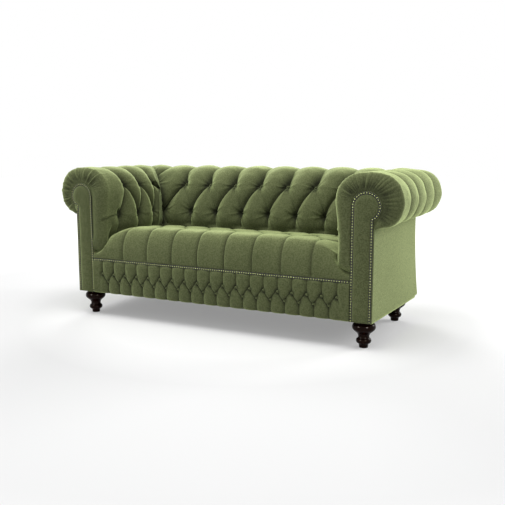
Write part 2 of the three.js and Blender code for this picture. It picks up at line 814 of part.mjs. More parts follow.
function addLegs() {
  for (const [word, side, behind] of legPlaces) {
    const turned = legShares.map(([up, out]) => [out * legRadius, up * legHeight]);
    const boreFoot = legHeight - studLength - fit;
    const bore = studRadius + fit;
    const profile = [[0, 0], ...turned, [bore, legHeight], [bore, boreFoot], [0, boreFoot]];
    addMesh(`leg_${word}`, lathed(profile, side * legAcross, behind, legSides), darkWood);
    const top = bottomHeight + coverThick;
    const plate = [
      [0, legHeight - studLength],
      [studRadius, legHeight - studLength],
      [studRadius, bottomHeight],
      [plateRadius, bottomHeight],
      [plateRadius, top],
      [0, top],
    ];
    addMesh(`leg_plate_${word}`, lathed(plate, side * legAcross, behind, legSides), steel);
  }
}

function addDustCover() {
  const start = borderBack + fit * 2;
  const finish = sideRailRear;
  const frontHalf = facingAcross - fit;
  const rearHalf = sideRailOuter(finish - panelRadius);
  const plan = [
    [-frontHalf, start],
    [frontHalf, start],
    [rearHalf, finish - panelRadius],
    [rearHalf - panelRadius, finish],
    [panelRadius - rearHalf, finish],
    [-rearHalf, finish - panelRadius],
  ];
  const holes = legPlaces.map(([, side, behind]) => {
    const path = new THREE.Path();
    const radius = (plateRadius + fit) / Math.cos(Math.PI / legSides);
    path.absarc(side * legAcross, frontY + behind, radius, 0, Math.PI * 2, true);
    return path;
  });
  const moved = plan.map((p) => [p[0], frontY + p[1]]);
  const shape = shapeOf(moved, holes);
  const settings = { depth: coverThick, bevelEnabled: false, curveSegments: legSides };
  const geometry = new THREE.ExtrudeGeometry(shape, settings);
  geometry.translate(0, 0, bottomHeight);
  addMesh("dust_cover", geometry, cambric);
}

addRails();
addBackFrame();
addSeatDeck();
addDustCover();
addLegs();
for (const [word, side] of [["left", -1], ["right", 1]]) {
  addArmFrame(word, side);
  addFacing(`arm_facing_${word}`, side);
  addNailStrip(`nail_strip_${word}`, side);
  addOutsideArm(`outside_arm_${word}`, side);
  addArmPad(`arm_pad_${word}`, side);
}
addFrontStrip("nail_strip_front");
addBorder("front_border");
addSeat("seat_pad");
addBackPad("back_pad");
addOutsideBack("outside_back");

export default sofa;
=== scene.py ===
import math

import bpy
import numpy as np
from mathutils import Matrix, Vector


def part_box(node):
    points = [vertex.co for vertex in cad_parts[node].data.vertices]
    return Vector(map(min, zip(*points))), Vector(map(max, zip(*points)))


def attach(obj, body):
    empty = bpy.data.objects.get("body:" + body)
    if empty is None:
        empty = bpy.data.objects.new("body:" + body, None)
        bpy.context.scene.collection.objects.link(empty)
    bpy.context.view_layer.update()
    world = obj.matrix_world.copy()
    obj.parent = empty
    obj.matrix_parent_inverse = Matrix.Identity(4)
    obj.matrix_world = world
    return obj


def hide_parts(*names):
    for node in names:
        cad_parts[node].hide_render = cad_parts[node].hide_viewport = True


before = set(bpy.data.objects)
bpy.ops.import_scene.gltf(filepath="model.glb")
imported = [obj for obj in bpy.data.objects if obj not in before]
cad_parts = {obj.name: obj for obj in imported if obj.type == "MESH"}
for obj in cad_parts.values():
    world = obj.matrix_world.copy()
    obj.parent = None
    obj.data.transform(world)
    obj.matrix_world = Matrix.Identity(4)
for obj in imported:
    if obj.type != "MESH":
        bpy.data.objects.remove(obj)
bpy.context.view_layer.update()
print("frame loaded:", len(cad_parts), "nodes")

mm = 0.001
frontY = -408.0  # front plane of the arm facings; "behind" is measured back from it
fit = 0.3  # gap left between two pieces that meet

# Sizes that several pieces share, in millimetres. "across" is a distance out from the middle.
sofa = {
    "facingAcross": 800.0, "facingInner": 702.0, "headRadius": 66.0, "headHeight": 631.0,
    "bottomHeight": 124.3, "legHeight": 124.0, "legAcross": 751.0, "legBehind": (66.0, 599.0),
    "panelTop": 536.0, "nailHeight": 300.5,
}
headAcross = sofa["facingInner"] + sofa["headRadius"]


# Step from 0 to 1 with no slope at its ends: three squares less two cubes.
def smooth(value):
    v = np.clip(value, 0, 1)
    return v * v * (3 - 2 * v)


# Quarter of an ellipse: rises steeply out of a crease and lies flat at the crown.
def puff(share):
    left = 1 - np.clip(share, 0, 1)
    return np.sqrt(np.maximum(0, 1 - left * left))


# Cubic between neighbours; the slope at a point is half the chord from the one before to the one after.
def curveThrough(points, spots):
    points, spots = np.asarray(points, float), np.asarray(spots, float)
    last = len(points) - 1
    base = np.clip(np.floor(spots).astype(int), 0, last - 1)
    t = (spots - base).reshape(spots.shape + (1,) * (points.ndim - 1))
    a, b = points[np.maximum(base - 1, 0)], points[base]
    c, d = points[base + 1], points[np.minimum(base + 2, last)]
    return b + 0.5 * t * ((c - a) + t * (2 * a - 5 * b + 4 * c - d + t * (3 * (b - c) + d - a)))


# Spots along a curve that lie about one step apart, and how far along it each one is.
def evenSpots(points, step):
    fine = np.linspace(0, len(points) - 1, 1200)
    gone = lengthsAlong(curveThrough(points, fine))
    wanted = np.linspace(0, gone[-1], int(gone[-1] / step) + 2)
    return np.interp(wanted, gone, fine), wanted, lambda spot: np.interp(spot, fine, gone)


latticeSize = 97


# Random heights on a unit lattice, joined by smooth steps, from -1 to 1.
def rumple(u, v, seed):
    lattice = np.random.default_rng(seed).uniform(-1, 1, (latticeSize, latticeSize))
    iu, iv = np.floor(u).astype(int), np.floor(v).astype(int)
    fu, fv = smooth(u - iu), smooth(v - iv)
    iu, iv, nextU, nextV = (n % latticeSize for n in (iu, iv, iu + 1, iv + 1))
    low = lattice[iu, iv] * (1 - fu) + lattice[nextU, iv] * fu
    high = lattice[iu, nextV] * (1 - fu) + lattice[nextU, nextV] * fu
    return low * (1 - fv) + high * fv


# How far along a line of points each one lies: the sum of the steps before it.
def lengthsAlong(line):
    return np.concatenate([[0], np.cumsum(np.linalg.norm(np.diff(line, axis=0), axis=1))])


# Vectors divided by their own lengths.
def unit(vectors):
    return vectors / np.maximum(np.linalg.norm(vectors, axis=-1, keepdims=True), 1e-9)


# Unit normals of a grid of points, from the cross product of its two slopes.
def gridNormals(points):
    return unit(np.cross(np.gradient(points, axis=0), np.gradient(points, axis=1)))


# A bell: e to the minus square of the distance over the reach.
def bell(distance, reach):
    return np.exp(-((distance / reach) ** 2))


# A smooth mesh from points in millimetres. "corners" runs through the faces one after another, as
# numbers of points, and "sizes" says how many corners each face has.
def newMesh(name, points, corners, sizes, uv=None, marks=None, materials=()):
    mesh = bpy.data.meshes.new(name)
    mesh.vertices.add(len(points))
    mesh.vertices.foreach_set("co", (points * mm).ravel())
    mesh.loops.add(len(corners))
    mesh.loops.foreach_set("vertex_index", corners)
    mesh.polygons.add(len(sizes))
    mesh.polygons.foreach_set("loop_start", np.cumsum(sizes) - sizes)
    mesh.update(calc_edges=True)
    mesh.polygons.foreach_set("use_smooth", np.ones(len(sizes), bool))
    if uv is not None:
        layer = mesh.uv_layers.new(name="cloth")
        layer.data.foreach_set("uv", (uv * mm)[corners].ravel())
    for key, values in (marks or {}).items():
        mark = mesh.attributes.new(key, "FLOAT", "POINT")
        mark.data.foreach_set("value", np.asarray(values, np.float32).ravel())
    for material in materials:
        mesh.materials.append(material)
    piece = bpy.data.objects.new(name, mesh)
    bpy.context.scene.collection.objects.link(piece)
    return piece


# A closed body from rings of points: walls between the rings and a lid on each end ring.
# Its faces are turned round if the volume that they bound comes out below zero.
def loftBody(name, rings, uv=None, marks=None, materials=()):
    count, around = rings.shape[:2]
    i, j = np.arange(count - 1)[:, None] * around, np.arange(around)[None, :]
    k = (j + 1) % around
    quads = np.stack([i + j, i + k, i + around + k, i + around + j], -1).reshape(-1, 4)
    points = rings.reshape(-1, 3)
    lids = [np.arange(around)[::-1], np.arange(around) + (count - 1) * around]
    middle = points.mean(0)
    a, b, c, d = (points[quads[:, n]] - middle for n in range(4))
    volume = np.einsum("ij,ij->", a, np.cross(b, c)) + np.einsum("ij,ij->", a, np.cross(c, d))
    for lid in lids:
        rim = points[lid] - middle
        volume += np.einsum("ij,ij->", rim[1:-1], np.cross(rim[2:], rim[:1]))
    if volume < 0:
        quads, lids = quads[:, ::-1], [lid[::-1] for lid in lids]
    corners = np.concatenate([quads.ravel(), *lids])
    sizes = np.append(np.full(len(quads), 4), [around, around])
    return newMesh(name, points, corners, sizes, uv, marks, materials)


# A padded body from its shown side and its hidden side. Its map runs in lengths of cloth, and
# its fold mark, the share of painted shade, is 0 on the hidden side.
def paddedBody(name, shown, hidden, along, up, hiddenUp, fold, material):
    rings = np.concatenate([shown, hidden], axis=1)
    uv = np.stack(np.meshgrid(along, np.append(up, hiddenUp), indexing="ij"), -1)
    marks = {"fold": np.concatenate([fold, np.zeros(hidden.shape[:2])], axis=1)}
    return loftBody(name, rings, uv.reshape(-1, 2), marks, [material])


# Wraps one socket, so that sums on it add Math nodes.
class Wire:
    def __init__(self, tree, socket=None):
        self.tree, self.socket = tree, socket

    # Any node: its type, its settings, then the values or links of its sockets.
    def node(self, kind, settings=None, sockets=None, out=0):
        made = self.tree.nodes.new(kind)
        for key, value in (settings or {}).items():
            if key == "stops":
                ramp = made.color_ramp
                while len(ramp.elements) < len(value):
                    ramp.elements.new(0.5)
                for element, (place, colour) in zip(ramp.elements, value):
                    element.position, element.color = place, colour
            else:
                setattr(made, key, value)
        for key, value in (sockets or {}).items():
            if isinstance(value, Wire):
                self.tree.links.new(value.socket, made.inputs[key])
            else:
                made.inputs[key].default_value = value
        return Wire(self.tree, made.outputs[out] if made.outputs else None)

    def maths(self, operation, *values):
        return self.node("ShaderNodeMath", {"operation": operation}, dict(enumerate(values)))

    def __add__(self, other):
        return self.maths("ADD", self, other)

    def __radd__(self, other):
        return self.maths("ADD", other, self)

    def __sub__(self, other):
        return self.maths("SUBTRACT", self, other)

    def __rsub__(self, other):
        return self.maths("SUBTRACT", other, self)

    def __mul__(self, other):
        return self.maths("MULTIPLY", self, other)

    def __rmul__(self, other):
        return self.maths("MULTIPLY", other, self)

    def __pow__(self, other):
        return self.maths("POWER", self, other)

    # Clamped between 0 and 1.
    def held(self):
        return self.node("ShaderNodeClamp", None, {"Value": self})

    def noise(self, vector, scale, detail=2.0, roughness=0.5):
        values = {"Vector": vector, "Scale": scale, "Detail": detail, "Roughness": roughness}
        return self.node("ShaderNodeTexNoise", None, values)

    # A place scaled by its own factor each way, so that a noise read there is drawn out.
    def stretched(self, vector, scale):
        return self.node("ShaderNodeMapping", None, {"Vector": vector, "Scale": scale})

    # Slides from the first colour to the second with "share".
    def colours(self, share, first, second):
        return self.node("ShaderNodeMix", {"data_type": "RGBA"}, {0: share, 6: first, 7: second}, out=2)

    def bump(self, height, strength, distance):
        return self.node("ShaderNodeBump", None, {"Height": height, "Strength": strength, "Distance": distance})


# An empty material, and a wire whose "place" is the Object coordinates.
def newMaterial(name):
    material = bpy.data.materials.new(name)
    material.use_nodes = True
    tree = material.node_tree
    tree.nodes.clear()
    wire = Wire(tree)
    wire.place = wire.node("ShaderNodeTexCoord", out=3)
    return material, wire


# Ends a material in one Principled shader with these sockets.
def finish(material, wire, settings):
    shader = wire.node("ShaderNodeBsdfPrincipled", None, settings)
    wire.node("ShaderNodeOutputMaterial", None, {"Surface": shader})
    return material


# Cut pile: patches brushed different ways and a mottled grain of fibre. Painted shade darkens it down in the
# folds, and a painted sheen makes it paler where it is seen along the pile. The "fold" mark of painted shade
# runs from 0 on a crown to 1 in a pit.
velvetLook = {
    "deep": (0.008, 0.009, 0.0045, 1), "mid": (0.067, 0.080, 0.031, 1), "pale": (0.108, 0.123, 0.053, 1),
    "rimMid": (0.20, 0.238, 0.096, 1), "rimPale": (0.42, 0.472, 0.215, 1), "rimShare": 0.95, "rimMost": 0.86,
    "rimPower": 2.2, "sheenTint": (0.84, 1.0, 0.46, 1), "sheen": 0.75, "sheenRoughness": 0.38,
    "foldShade": 0.9, "foldPower": 1.25, "patchScale": 4.2, "streakScale": (16.0, 16.0, 70.0),
    "mottleScale": 165.0, "fibreScale": 640.0, "patch": 0.7, "streak": 0.5, "mottle": 5.5, "fibre": 0.6,
}


# The last argument makes a piece paler than the rest, seen face on and seen along its surface: painted light.
def makeVelvet(name, folded, paintedLight=(1.0, 1.0)):
    look = velvetLook
    material, w = newMaterial(name)
    patches = w.noise(w.place, look["patchScale"], 3.0)
    streaks = w.noise(w.stretched(w.place, look["streakScale"]), 1.0, 4.0, 0.6)
    mottle = w.noise(w.place, look["mottleScale"], 3.0, 0.7)
    fibre = w.noise(w.place, look["fibreScale"], 1.0)
    nap = (patches - 0.5) * look["patch"] + (streaks - 0.5) * look["streak"]
    nap = nap + (mottle - 0.5) * look["mottle"] + (fibre - 0.5) * look["fibre"] + 0.5
    mid, pale, rimMid, rimPale = (
        tuple(c * paintedLight["rim" in key] for c in look[key][:3]) + (1,)
        for key in ("mid", "pale", "rimMid", "rimPale")
    )
    front, along = w.colours(nap.held(), mid, pale), w.colours(nap.held(), rimMid, rimPale)
    # Painted sheen: seen edge on, the colour slides from the face-on colours to the paler rim colours.
    facing = w.node("ShaderNodeLayerWeight", None, {"Blend": 0.5}, out=1)
    rim = facing.maths("MINIMUM", facing, look["rimMost"]) ** look["rimPower"] * look["rimShare"]
    colour = w.colours(rim.held(), front, along)
    # Painted shade: the fold mark darkens the colour towards "deep", most in the pits.
    if folded:
        fold = w.node("ShaderNodeAttribute", {"attribute_name": "fold"}, None, out=2)
        shade = fold ** look["foldPower"] * look["foldShade"]
        colour = w.colours(shade.held(), colour, look["deep"])
    height = fibre * 0.4 + mottle * 0.6 + streaks * 0.6
    return finish(material, w, {
        "Base Color": colour, "Roughness": (0.78 + 0.18 * streaks).held(),
        "Normal": w.bump(height, 0.4, 0.0016), "Sheen Weight": look["sheen"],
        "Sheen Roughness": look["sheenRoughness"], "Sheen Tint": look["sheenTint"],
        "Specular IOR Level": 0.1,
    })


# A near-black band under the nails: painted shade round and between the nail heads, laid as a strip.
# Ribs slant across it, on its own map of length and width.
nailShadeBandLook = {"dark": (0.003, 0.0034, 0.0016, 1), "pale": (0.009, 0.010, 0.005, 1), "ribScale": 260.0, "sheen": 0.05}


def makeNailShadeBand():
    material, w = newMaterial("gimpBraid")
    slant = w.node("ShaderNodeUVMap", {"uv_map": "cloth"})
    ribs = w.node("ShaderNodeTexWave", {"wave_type": "BANDS", "bands_direction": "DIAGONAL"},
                  {"Vector": slant, "Scale": nailShadeBandLook["ribScale"], "Distortion": 0.6, "Detail": 1.0})
    fluff = w.noise(w.place, 700.0)
    colour = w.colours(ribs, nailShadeBandLook["dark"], nailShadeBandLook["pale"])
    return finish(material, w, {
        "Base Color": colour, "Roughness": 0.8, "Normal": w.bump(ribs * 0.8 + fluff * 0.3, 0.7, 0.0008),
        "Sheen Weight": nailShadeBandLook["sheen"], "Sheen Tint": velvetLook["sheenTint"],
    })


# Nail heads: bronzed, brighter where they are rubbed, a little pitted.
nailLook = {"bronzed": (0.20, 0.22, 0.08, 1), "rubbed": (0.46, 0.51, 0.185, 1), "metallic": 0.9}


def makeNailMetal():
    material, w = newMaterial("nailMetal")
    age = w.noise(w.place, 160.0, 3.0)
    pits = w.noise(w.place, 900.0, 2.0)
    colour = w.colours(age, nailLook["bronzed"], nailLook["rubbed"])
    return finish(material, w, {
        "Base Color": colour, "Metallic": nailLook["metallic"], "Roughness": (0.24 + 0.22 * age).held(),
        "Normal": w.bump(pits, 0.15, 0.0004),
    })


# Turned legs: near-black stain with brown grain that runs up the leg, under a thick gloss.
woodLook = {
    "stain": (0.0040, 0.0006, 0.0004, 1), "grain": (0.016, 0.0036, 0.0018, 1), "grainScale": (190.0, 190.0, 16.0),
    "coat": 0.07, "coatRoughness": 0.03, "glossTint": (1.0, 0.74, 0.5, 1), "gloss": 0.04,
}


def makeTurnedWood():
    material, w = newMaterial("turnedWood")
    grain = w.noise(w.stretched(w.place, woodLook["grainScale"]), 1.0, 5.0, 0.6)
    wear = w.noise(w.place, 24.0, 3.0)
    colour = w.colours(grain ** 2.0, woodLook["stain"], woodLook["grain"])
    return finish(material, w, {
        "Base Color": colour, "Roughness": (0.12 + 0.12 * wear).held(), "Normal": w.bump(grain, 0.08, 0.0004),
        "Coat Weight": woodLook["coat"], "Coat Roughness": woodLook["coatRoughness"],
        "Specular IOR Level": woodLook["gloss"], "Specular Tint": woodLook["glossTint"],
    })


# Sawn beech inside: short flecks along the timber and a few darker bands.
beechLook = {
    "dark": (0.40, 0.235, 0.115, 1), "pale": (0.66, 0.46, 0.27, 1),
    "fleckScale": (40.0, 40.0, 320.0), "bandScale": (6.0, 6.0, 30.0),
}


def makeBeech():
    material, w = newMaterial("sawnBeech")
    flecks = w.noise(w.stretched(w.place, beechLook["fleckScale"]), 1.0, 4.0, 0.65)
    bands = w.noise(w.stretched(w.place, beechLook["bandScale"]), 1.0, 2.0)
    colour = w.colours((flecks * 0.6 + bands * 0.4).held(), beechLook["dark"], beechLook["pale"])
    return finish(material, w, {
        "Base Color": colour, "Roughness": (0.6 + 0.2 * flecks).held(), "Normal": w.bump(flecks, 0.25, 0.0006),
    })


# Drawn or rolled steel: fine lines, with spots of rust where a noise stands high.
steelLook = {"rust": (0.16, 0.07, 0.03, 1), "rustScale": 45.0, "lineScale": (60.0, 900.0, 60.0)}


def makeSteel(name, colour, rough):
    material, w = newMaterial(name)
    drawn = w.noise(w.stretched(w.place, steelLook["lineScale"]), 1.0, 3.0)
    rust = w.noise(w.place, steelLook["rustScale"], 4.0, 0.7) ** 4.0
    tint = w.colours((rust * 2.2).held(), colour, steelLook["rust"])
    return finish(material, w, {
        "Base Color": tint, "Metallic": (1 - rust).held(), "Roughness": (rough + 0.2 * drawn).held(),
        "Normal": w.bump(drawn, 0.12, 0.0004),
    })


# Plain woven cloth: two sets of threads at right angles, slubbed by noise.
def makeWoven(name, dark, pale, threads, strength):
    material, w = newMaterial(name)
    values = {"Vector": w.place, "Scale": threads, "Distortion": 0.8}
    weft, warp = (w.node("ShaderNodeTexWave", {"bands_direction": way}, values) for way in ("X", "Y"))
    slub = w.noise(w.place, threads * 0.6, 3.0)
    weave = weft * 0.5 + warp * 0.5
    colour = w.colours((weave * 0.6 + slub * 0.5).held(), dark, pale)
    return finish(material, w, {
        "Base Color": colour, "Roughness": (0.8 + 0.15 * slub).held(),
        "Normal": w.bump(weave + slub * 0.4, strength, 0.0008),
    })


velvet = makeVelvet("velvetTufted", True)
# A paler copy of the velvet for the seat: painted light, so that the seat looks more brightly lit.
velvetSeatPaintedLight = makeVelvet("velvetSeatPaintedLight", True, (1.12, 1.36))
velvetPlain = makeVelvet("velvetPlain", False)
gimpBraid, nailMetal, turnedWood, beech = makeNailShadeBand(), makeNailMetal(), makeTurnedWood(), makeBeech()
plateSteel = makeSteel("plateSteel", (0.45, 0.45, 0.46, 1), 0.3)
springSteel = makeSteel("springSteel", (0.30, 0.30, 0.32, 1), 0.35)
hessian = makeWoven("hessian", (0.17, 0.115, 0.055, 1), (0.42, 0.32, 0.18, 1), 240.0, 0.6)
cambric = makeWoven("cambric", (0.006, 0.006, 0.006, 1), (0.028, 0.028, 0.027, 1), 380.0, 0.35)
print("materials made")


# The wall profiles: shares of how far a wall reaches out, and of its rise from foot to top.
arm = {
    "inner": 565.0, "reach": 358.0, "foot": 430.0, "rise": 350.0, "neck": 800.0, "head": headAcross,
    "headHeight": 631.0, "liner": 702.0, "linerHeight": 354.0, "tail": 822.3, "buttonRows": (2.0, 4.35),
    "shares": [
        [0.04, 0], [-0.035, 0.129], [-0.052, 0.289], [-0.036, 0.486], [0.03, 0.677],
        [0.175, 0.856], [0.385, 0.968], [0.62, 0.996], [0.81, 0.955], [0.935, 0.849],
        [0.995, 0.7], [1, 0.577], [0.953, 0.429], [0.855, 0.337], [0.718, 0.304],
    ],
}
back = {
    "inner": 448.0, "reach": 383.0, "foot": 430.0, "rise": 354.0, "neck": 695.0, "head": 663.0,
    "headHeight": 635.0, "liner": 546.6, "linerHeight": 391.9, "tail": 717.3, "buttonRows": (1.95, 4.1),
    "shares": [
        [0.057, 0.028], [0.002, 0.141], [0.004, 0.285], [0.058, 0.48], [0.155, 0.669],
        [0.3, 0.842], [0.49, 0.955], [0.695, 0.984], [0.86, 0.95], [0.957, 0.845],
        [0.995, 0.695], [1, 0.571], [0.95, 0.424], [0.84, 0.333], [0.68, 0.301],
    ],
}
# The arms and the back meet on a mitre; "inner" and "outer" are the radii that they turn through there.
corner = {"inner": 50.0, "outer": 90.0, "coreHold": 0.6, "straight": 374.0, "steps": 84}
cornerReach = corner["straight"] - back["inner"] + arm["inner"]
turnRow = 4  # row of the profiles where the wall begins to roll over
lastRow = len(arm["shares"]) - 1
headSteps = 10
clothStep = 4.2


# Points round a scroll's head: centre plus radius times cosine and sine, from its inner side over the
# top to where the circle meets the neck.
def headArc(centre, height, radius, neck, steps=headSteps):
    angle = np.linspace(math.pi, -math.acos((neck - centre) / radius), steps + 1)
    return np.stack([centre + radius * np.cos(angle), height + radius * np.sin(angle)], -1)


# Shown side of a wall's section: the shares times reach and rise, with the tail where it is tacked.
def clothPoints(wall):
    points = np.array(wall["shares"]) * [wall["reach"], wall["rise"]] + [0, wall["foot"]]
    points[-1] = [wall["tail"] - wall["inner"], sofa["panelTop"] + fit]
    return points


# Hidden side of the stuffing: from its tail, round the scroll rail, down to its foot.
def corePoints(wall):
    arc = headArc(wall["head"], wall["headHeight"], sofa["headRadius"] + fit, wall["neck"] + fit)[::-1]
    ends = [wall["neck"] + fit, sofa["panelTop"] + fit], [wall["liner"] - fit, wall["linerHeight"]]
    return np.vstack([ends[0], arc, ends[1]]) - [wall["inner"], 0]


# The hidden point that each cloth point is drawn towards: below the roll on the straight lining at its
# own height, from there on spread evenly round the head.
def corePartners(wall):
    core, cloth = corePoints(wall)[::-1], clothPoints(wall)
    foot, start, tail = core[0], core[1], core[-1]
    spots = (np.arange(len(cloth)) - turnRow + 1) / (len(cloth) - turnRow) * headSteps + 1
    partners = np.stack([np.interp(spots, np.arange(len(core)), core[:, n]) for n in (0, 1)], -1)
    share = np.minimum(1, (cloth[:turnRow, 1] - foot[1]) / (start[1] - foot[1]))
    partners[:turnRow] = foot + (start - foot) * share[:, None]
    partners[-1] = tail
    return partners


# Never below 0, with its corner rounded over a width of twice "ease".
def softFloor(value, ease):
    return np.clip(value + ease, 0, 2 * ease) ** 2 / (4 * ease) + np.maximum(value - ease, 0)


# Held between 0 and 1 with rounded corners.
def softEnds(value, lowEase, highEase):
    return np.clip(1 - softFloor(1 - softFloor(value, lowEase), highEase), 0, 1)


# Falls from 1 to 0 with no slope at its start: e to the minus square of the distance over 1 plus it.
def easedAway(gone):
    return np.exp(-gone * gone / (1 + gone))


# Place along a wall, counted in pleats from the first button of the upper row. With "corner" the
# last pleats are squeezed, so that a button of each row lands on the mitre. Over the roll
# the pleats fan out, each one a little wider than the one before.
def pleatPlace(along, up, style):
    inner = (along - style["first"]) / style["pitch"]
    if "corner" in style:
        start, more = style["corner"]
        inner = inner + more * smooth((inner - start) / 0.5)
    if "over" not in style:
        return inner
    first, pitch, wider = style["over"]
    half, start = wider / 2, pitch - wider / 2
    outer = (np.sqrt(start * start + 4 * half * (along - first)) - start) / (2 * half)
    return inner + (outer - inner) * smooth((up - style["high"]) / style["overReach"])


# "depth" is the depth of a fold and "flat", "tip" and "round" shape the lobes between them. The folds
# fade below and above the buttons, and in the middle between the rows. Lengths are in millimetres.
tuftStyle = {
    "depth": 54.0, "flat": 1.0, "tip": 0.5, "round": 1.6, "below": 0.46, "belowReach": 30.0, "above": 0.36,
    "aboveReach": 92.0, "middle": 0.1, "vary": 3.0, "varyReach": 90.0, "pit": 12.0, "pitReach": 10.0,
    "crease": 5.5, "creaseReach": 17.0, "overReach": 150.0, "curve": (1.35, 1.35), "ease": (0.1, 0.24),
    "loose": 0.0, "funnelWide": 25.0, "funnelTall": 4.4, "funnel": 13.0,
}
# Small ridges that run out from each button like rays, turned from one lobe to the next.
star = {"rays": 3.5, "turn": 1.7, "uneven": 0.6, "power": 0.7, "level": 0.6, "seed": 9}
# Painted shade: how dark the folds are painted, and the pit round a button and the funnel over it.
shading = {"power": 1.6, "pit": 0.8, "pitWide": 1.7, "funnel": 0.7}
firstPleat = {"before": 0.95, "later": 0.3, "rise": 0.3, "ease": 0.3}  # the cloth is plain before it


# Distance and direction of a point from a button.
def fromButton(across, upward):
    return np.hypot(across, upward), np.arctan2(upward, across)


# Two staggered rows of buttons. Between them the folds run slantwise from button to button,
# so that the stuffing stands in lobes that reach between each other; under the lower row and
# over the upper row the folds run straight. "up" is measured along the cloth, in millimetres.
# With "lean" each lobe bulges over its left-hand neighbour, so that the lobes end round, like
# fish scales. With "loose" the folds on one hand are rounded valleys and those on the other creases.
# The result is how deep the cloth lies under its crown, and how much shade is painted there, down a fold and round
# a button.
def tufting(along, up, style, hand=1.0):
    place = pleatPlace(along, up, style)
    half, whole = place - (np.floor(place) + 0.5), place - np.round(place)
    rise = softEnds((up - style["low"]) / (style["high"] - style["low"]), *style["ease"])
    if "lean" in style:
        left, right = rise ** style["lean"], 1 - (1 - rise) ** style["lean"]
    else:
        left, right = (rise ** power for power in style["curve"])
    # at this height an upper lobe is "wide" and a lower one takes the rest; "share" runs from fold to crown
    wide, middle = np.where(half > 0, right, left), (right + left) / 2
    upper = np.abs(half) < wide / 2
    size, away = np.where(upper, wide, 1 - wide), np.abs(wide - 2 * np.abs(half))
    share = np.clip(away / np.maximum(size, 1e-6) / style["flat"], 0, 1)
    loose = style["loose"] * (half * hand < 0) * np.sin(math.pi * rise)
    share = np.sqrt(share * share * (1 - loose * loose) + loose * loose)
    crown = np.maximum(np.where(upper, middle, 1 - middle), 0) ** style["tip"]
    lift = crown * puff(share) ** style["round"]
    under, over = np.maximum(0, style["low"] - up), np.maximum(0, up - style["high"])
    fade = style["below"] + (1 - style["below"]) * easedAway(under / style["belowReach"])
    fade = fade * (style["above"] + (1 - style["above"]) * easedAway(over / style["aboveReach"]))
    fade = fade * (1 - style["middle"] * np.sin(math.pi * rise))
    lobe = np.where(upper, np.floor(place) * 2 + 1, np.round(place) * 2)
    vary = style["vary"] * (0.5 + 0.5 * rumple(lobe, up / style["varyReach"], style["seed"]))
    depth = style["depth"] * fade * (1 - lift) + vary * lift
    # round the buttons: a pit, a funnel that is drawn out upwards over the roll, and the rays
    toLow, lowAngle = fromButton(half * style["pitch"], up - style["low"])
    toHigh, highAngle = fromButton(whole * style["pitch"], up - style["high"])
    toButton, angle = np.minimum(toLow, toHigh), np.where(toLow < toHigh, lowAngle, highAngle)
    tall = np.where(over > 0, style["funnelTall"], 1.0)
    funnel = bell(np.hypot(whole * style["pitch"], (up - style["high"]) / tall), style["funnelWide"])
    depth = depth + style["pit"] * bell(toButton, style["pitReach"]) + style["funnel"] * funnel
    spread = toButton / style["creaseReach"]
    ray = angle * star["rays"] + lobe * star["turn"] + star["uneven"] * rumple(angle * 2, lobe, star["seed"])
    ridges = np.abs(np.sin(ray)) ** star["power"] - star["level"]
    depth = depth + ridges * spread * np.exp(1 - spread) * style["crease"]
    # Painted shade: down the folds, round each button and in the funnel over it.
    pit = shading["pit"] * bell(toButton, style["pitReach"] * shading["pitWide"])
    fold = fade * (1 - lift) ** shading["power"] + pit + shading["funnel"] * funnel
    begun = place + firstPleat["before"] - firstPleat["later"] * smooth(rise / firstPleat["rise"])
    begun = smooth(begun / firstPleat["ease"])
    return depth * begun, np.clip(fold, 0, 1) * begun


# Where a point of a wall stands in plan. A wall runs straight, then fans round to the mitre: it goes on
# straight as far as its own bend, then turns on a circle whose radius grows with the distance out.
def planPlace(out, fan):
    radius = corner["inner"] + (corner["outer"] - corner["inner"]) * np.minimum(1, out / arm["reach"])
    bend = back["inner"] + out - radius
    rest = bend - corner["straight"] + math.pi * radius / 4
    gone = fan * rest
    angle = np.maximum(0, gone - (bend - corner["straight"])) / radius
    turning = gone > bend - corner["straight"]
    side = np.where(turning, out - radius + radius * np.cos(angle), out)
    along = np.where(turning, bend + radius * np.sin(angle), corner["straight"] + gone)
    return side, along, rest - gone


# A wall's section for each fan: cloth, partners and hidden side slide to the mean of both walls.
def sections(own, other, fan, spots):
    clothShare = (smooth(fan) / 2)[:, None, None]
    coreShare = (smooth((fan - corner["coreHold"]) / (1 - corner["coreHold"])) / 2)[:, None, None]

    def between(points, share, spread):
        a, b = (curveThrough(points(wall), spots) if spread else points(wall) for wall in (own, other))
        return a[None] * (1 - share) + b[None] * share

    cloth, partner = between(clothPoints, clothShare, True), between(corePartners, coreShare, True)
    return cloth, partner, between(corePoints, coreShare, False)


armStyle = {
    "pitch": 122.0, "first": 186.0, "over": (187.0, 147.0, 9.0), "curve": (1.55, 0.8), "above": 0.3,
    "aboveReach": 84.0,
}
backStyle = {
    "pitch": 159.5, "first": 0.0, "over": (0.0, 166.0, 0.1), "seed": 14, "loose": 0.5, "round": 1.75,
    "corner": (3.0, 0.17), "crease": 8.0, "creaseReach": 18.0,
}


# The common style with a wall's own values over it, and the heights of its button rows along the cloth.
def wallStyle(wall, length, own, **more):
    low, high = wall["buttonRows"]
    return {**tuftStyle, **own, "low": length(low), "high": length(high), **more}


# The seam on the mitre: "wall" deep up to the upper buttons, easing to "roll" over the next "reach". It
# rises out of the seam as a quarter ellipse that is half a pleat wide.
seamShape = {"wall": 34.0, "roll": 16.0, "reach": 190.0, "power": 1.2}


def seamPull(up, style, away):
    over = smooth((up - style["high"]) / seamShape["reach"])
    deep = seamShape["wall"] + (seamShape["roll"] - seamShape["wall"]) * over
    return deep * (1 - puff(away / (style["pitch"] / 2)) ** seamShape["power"])


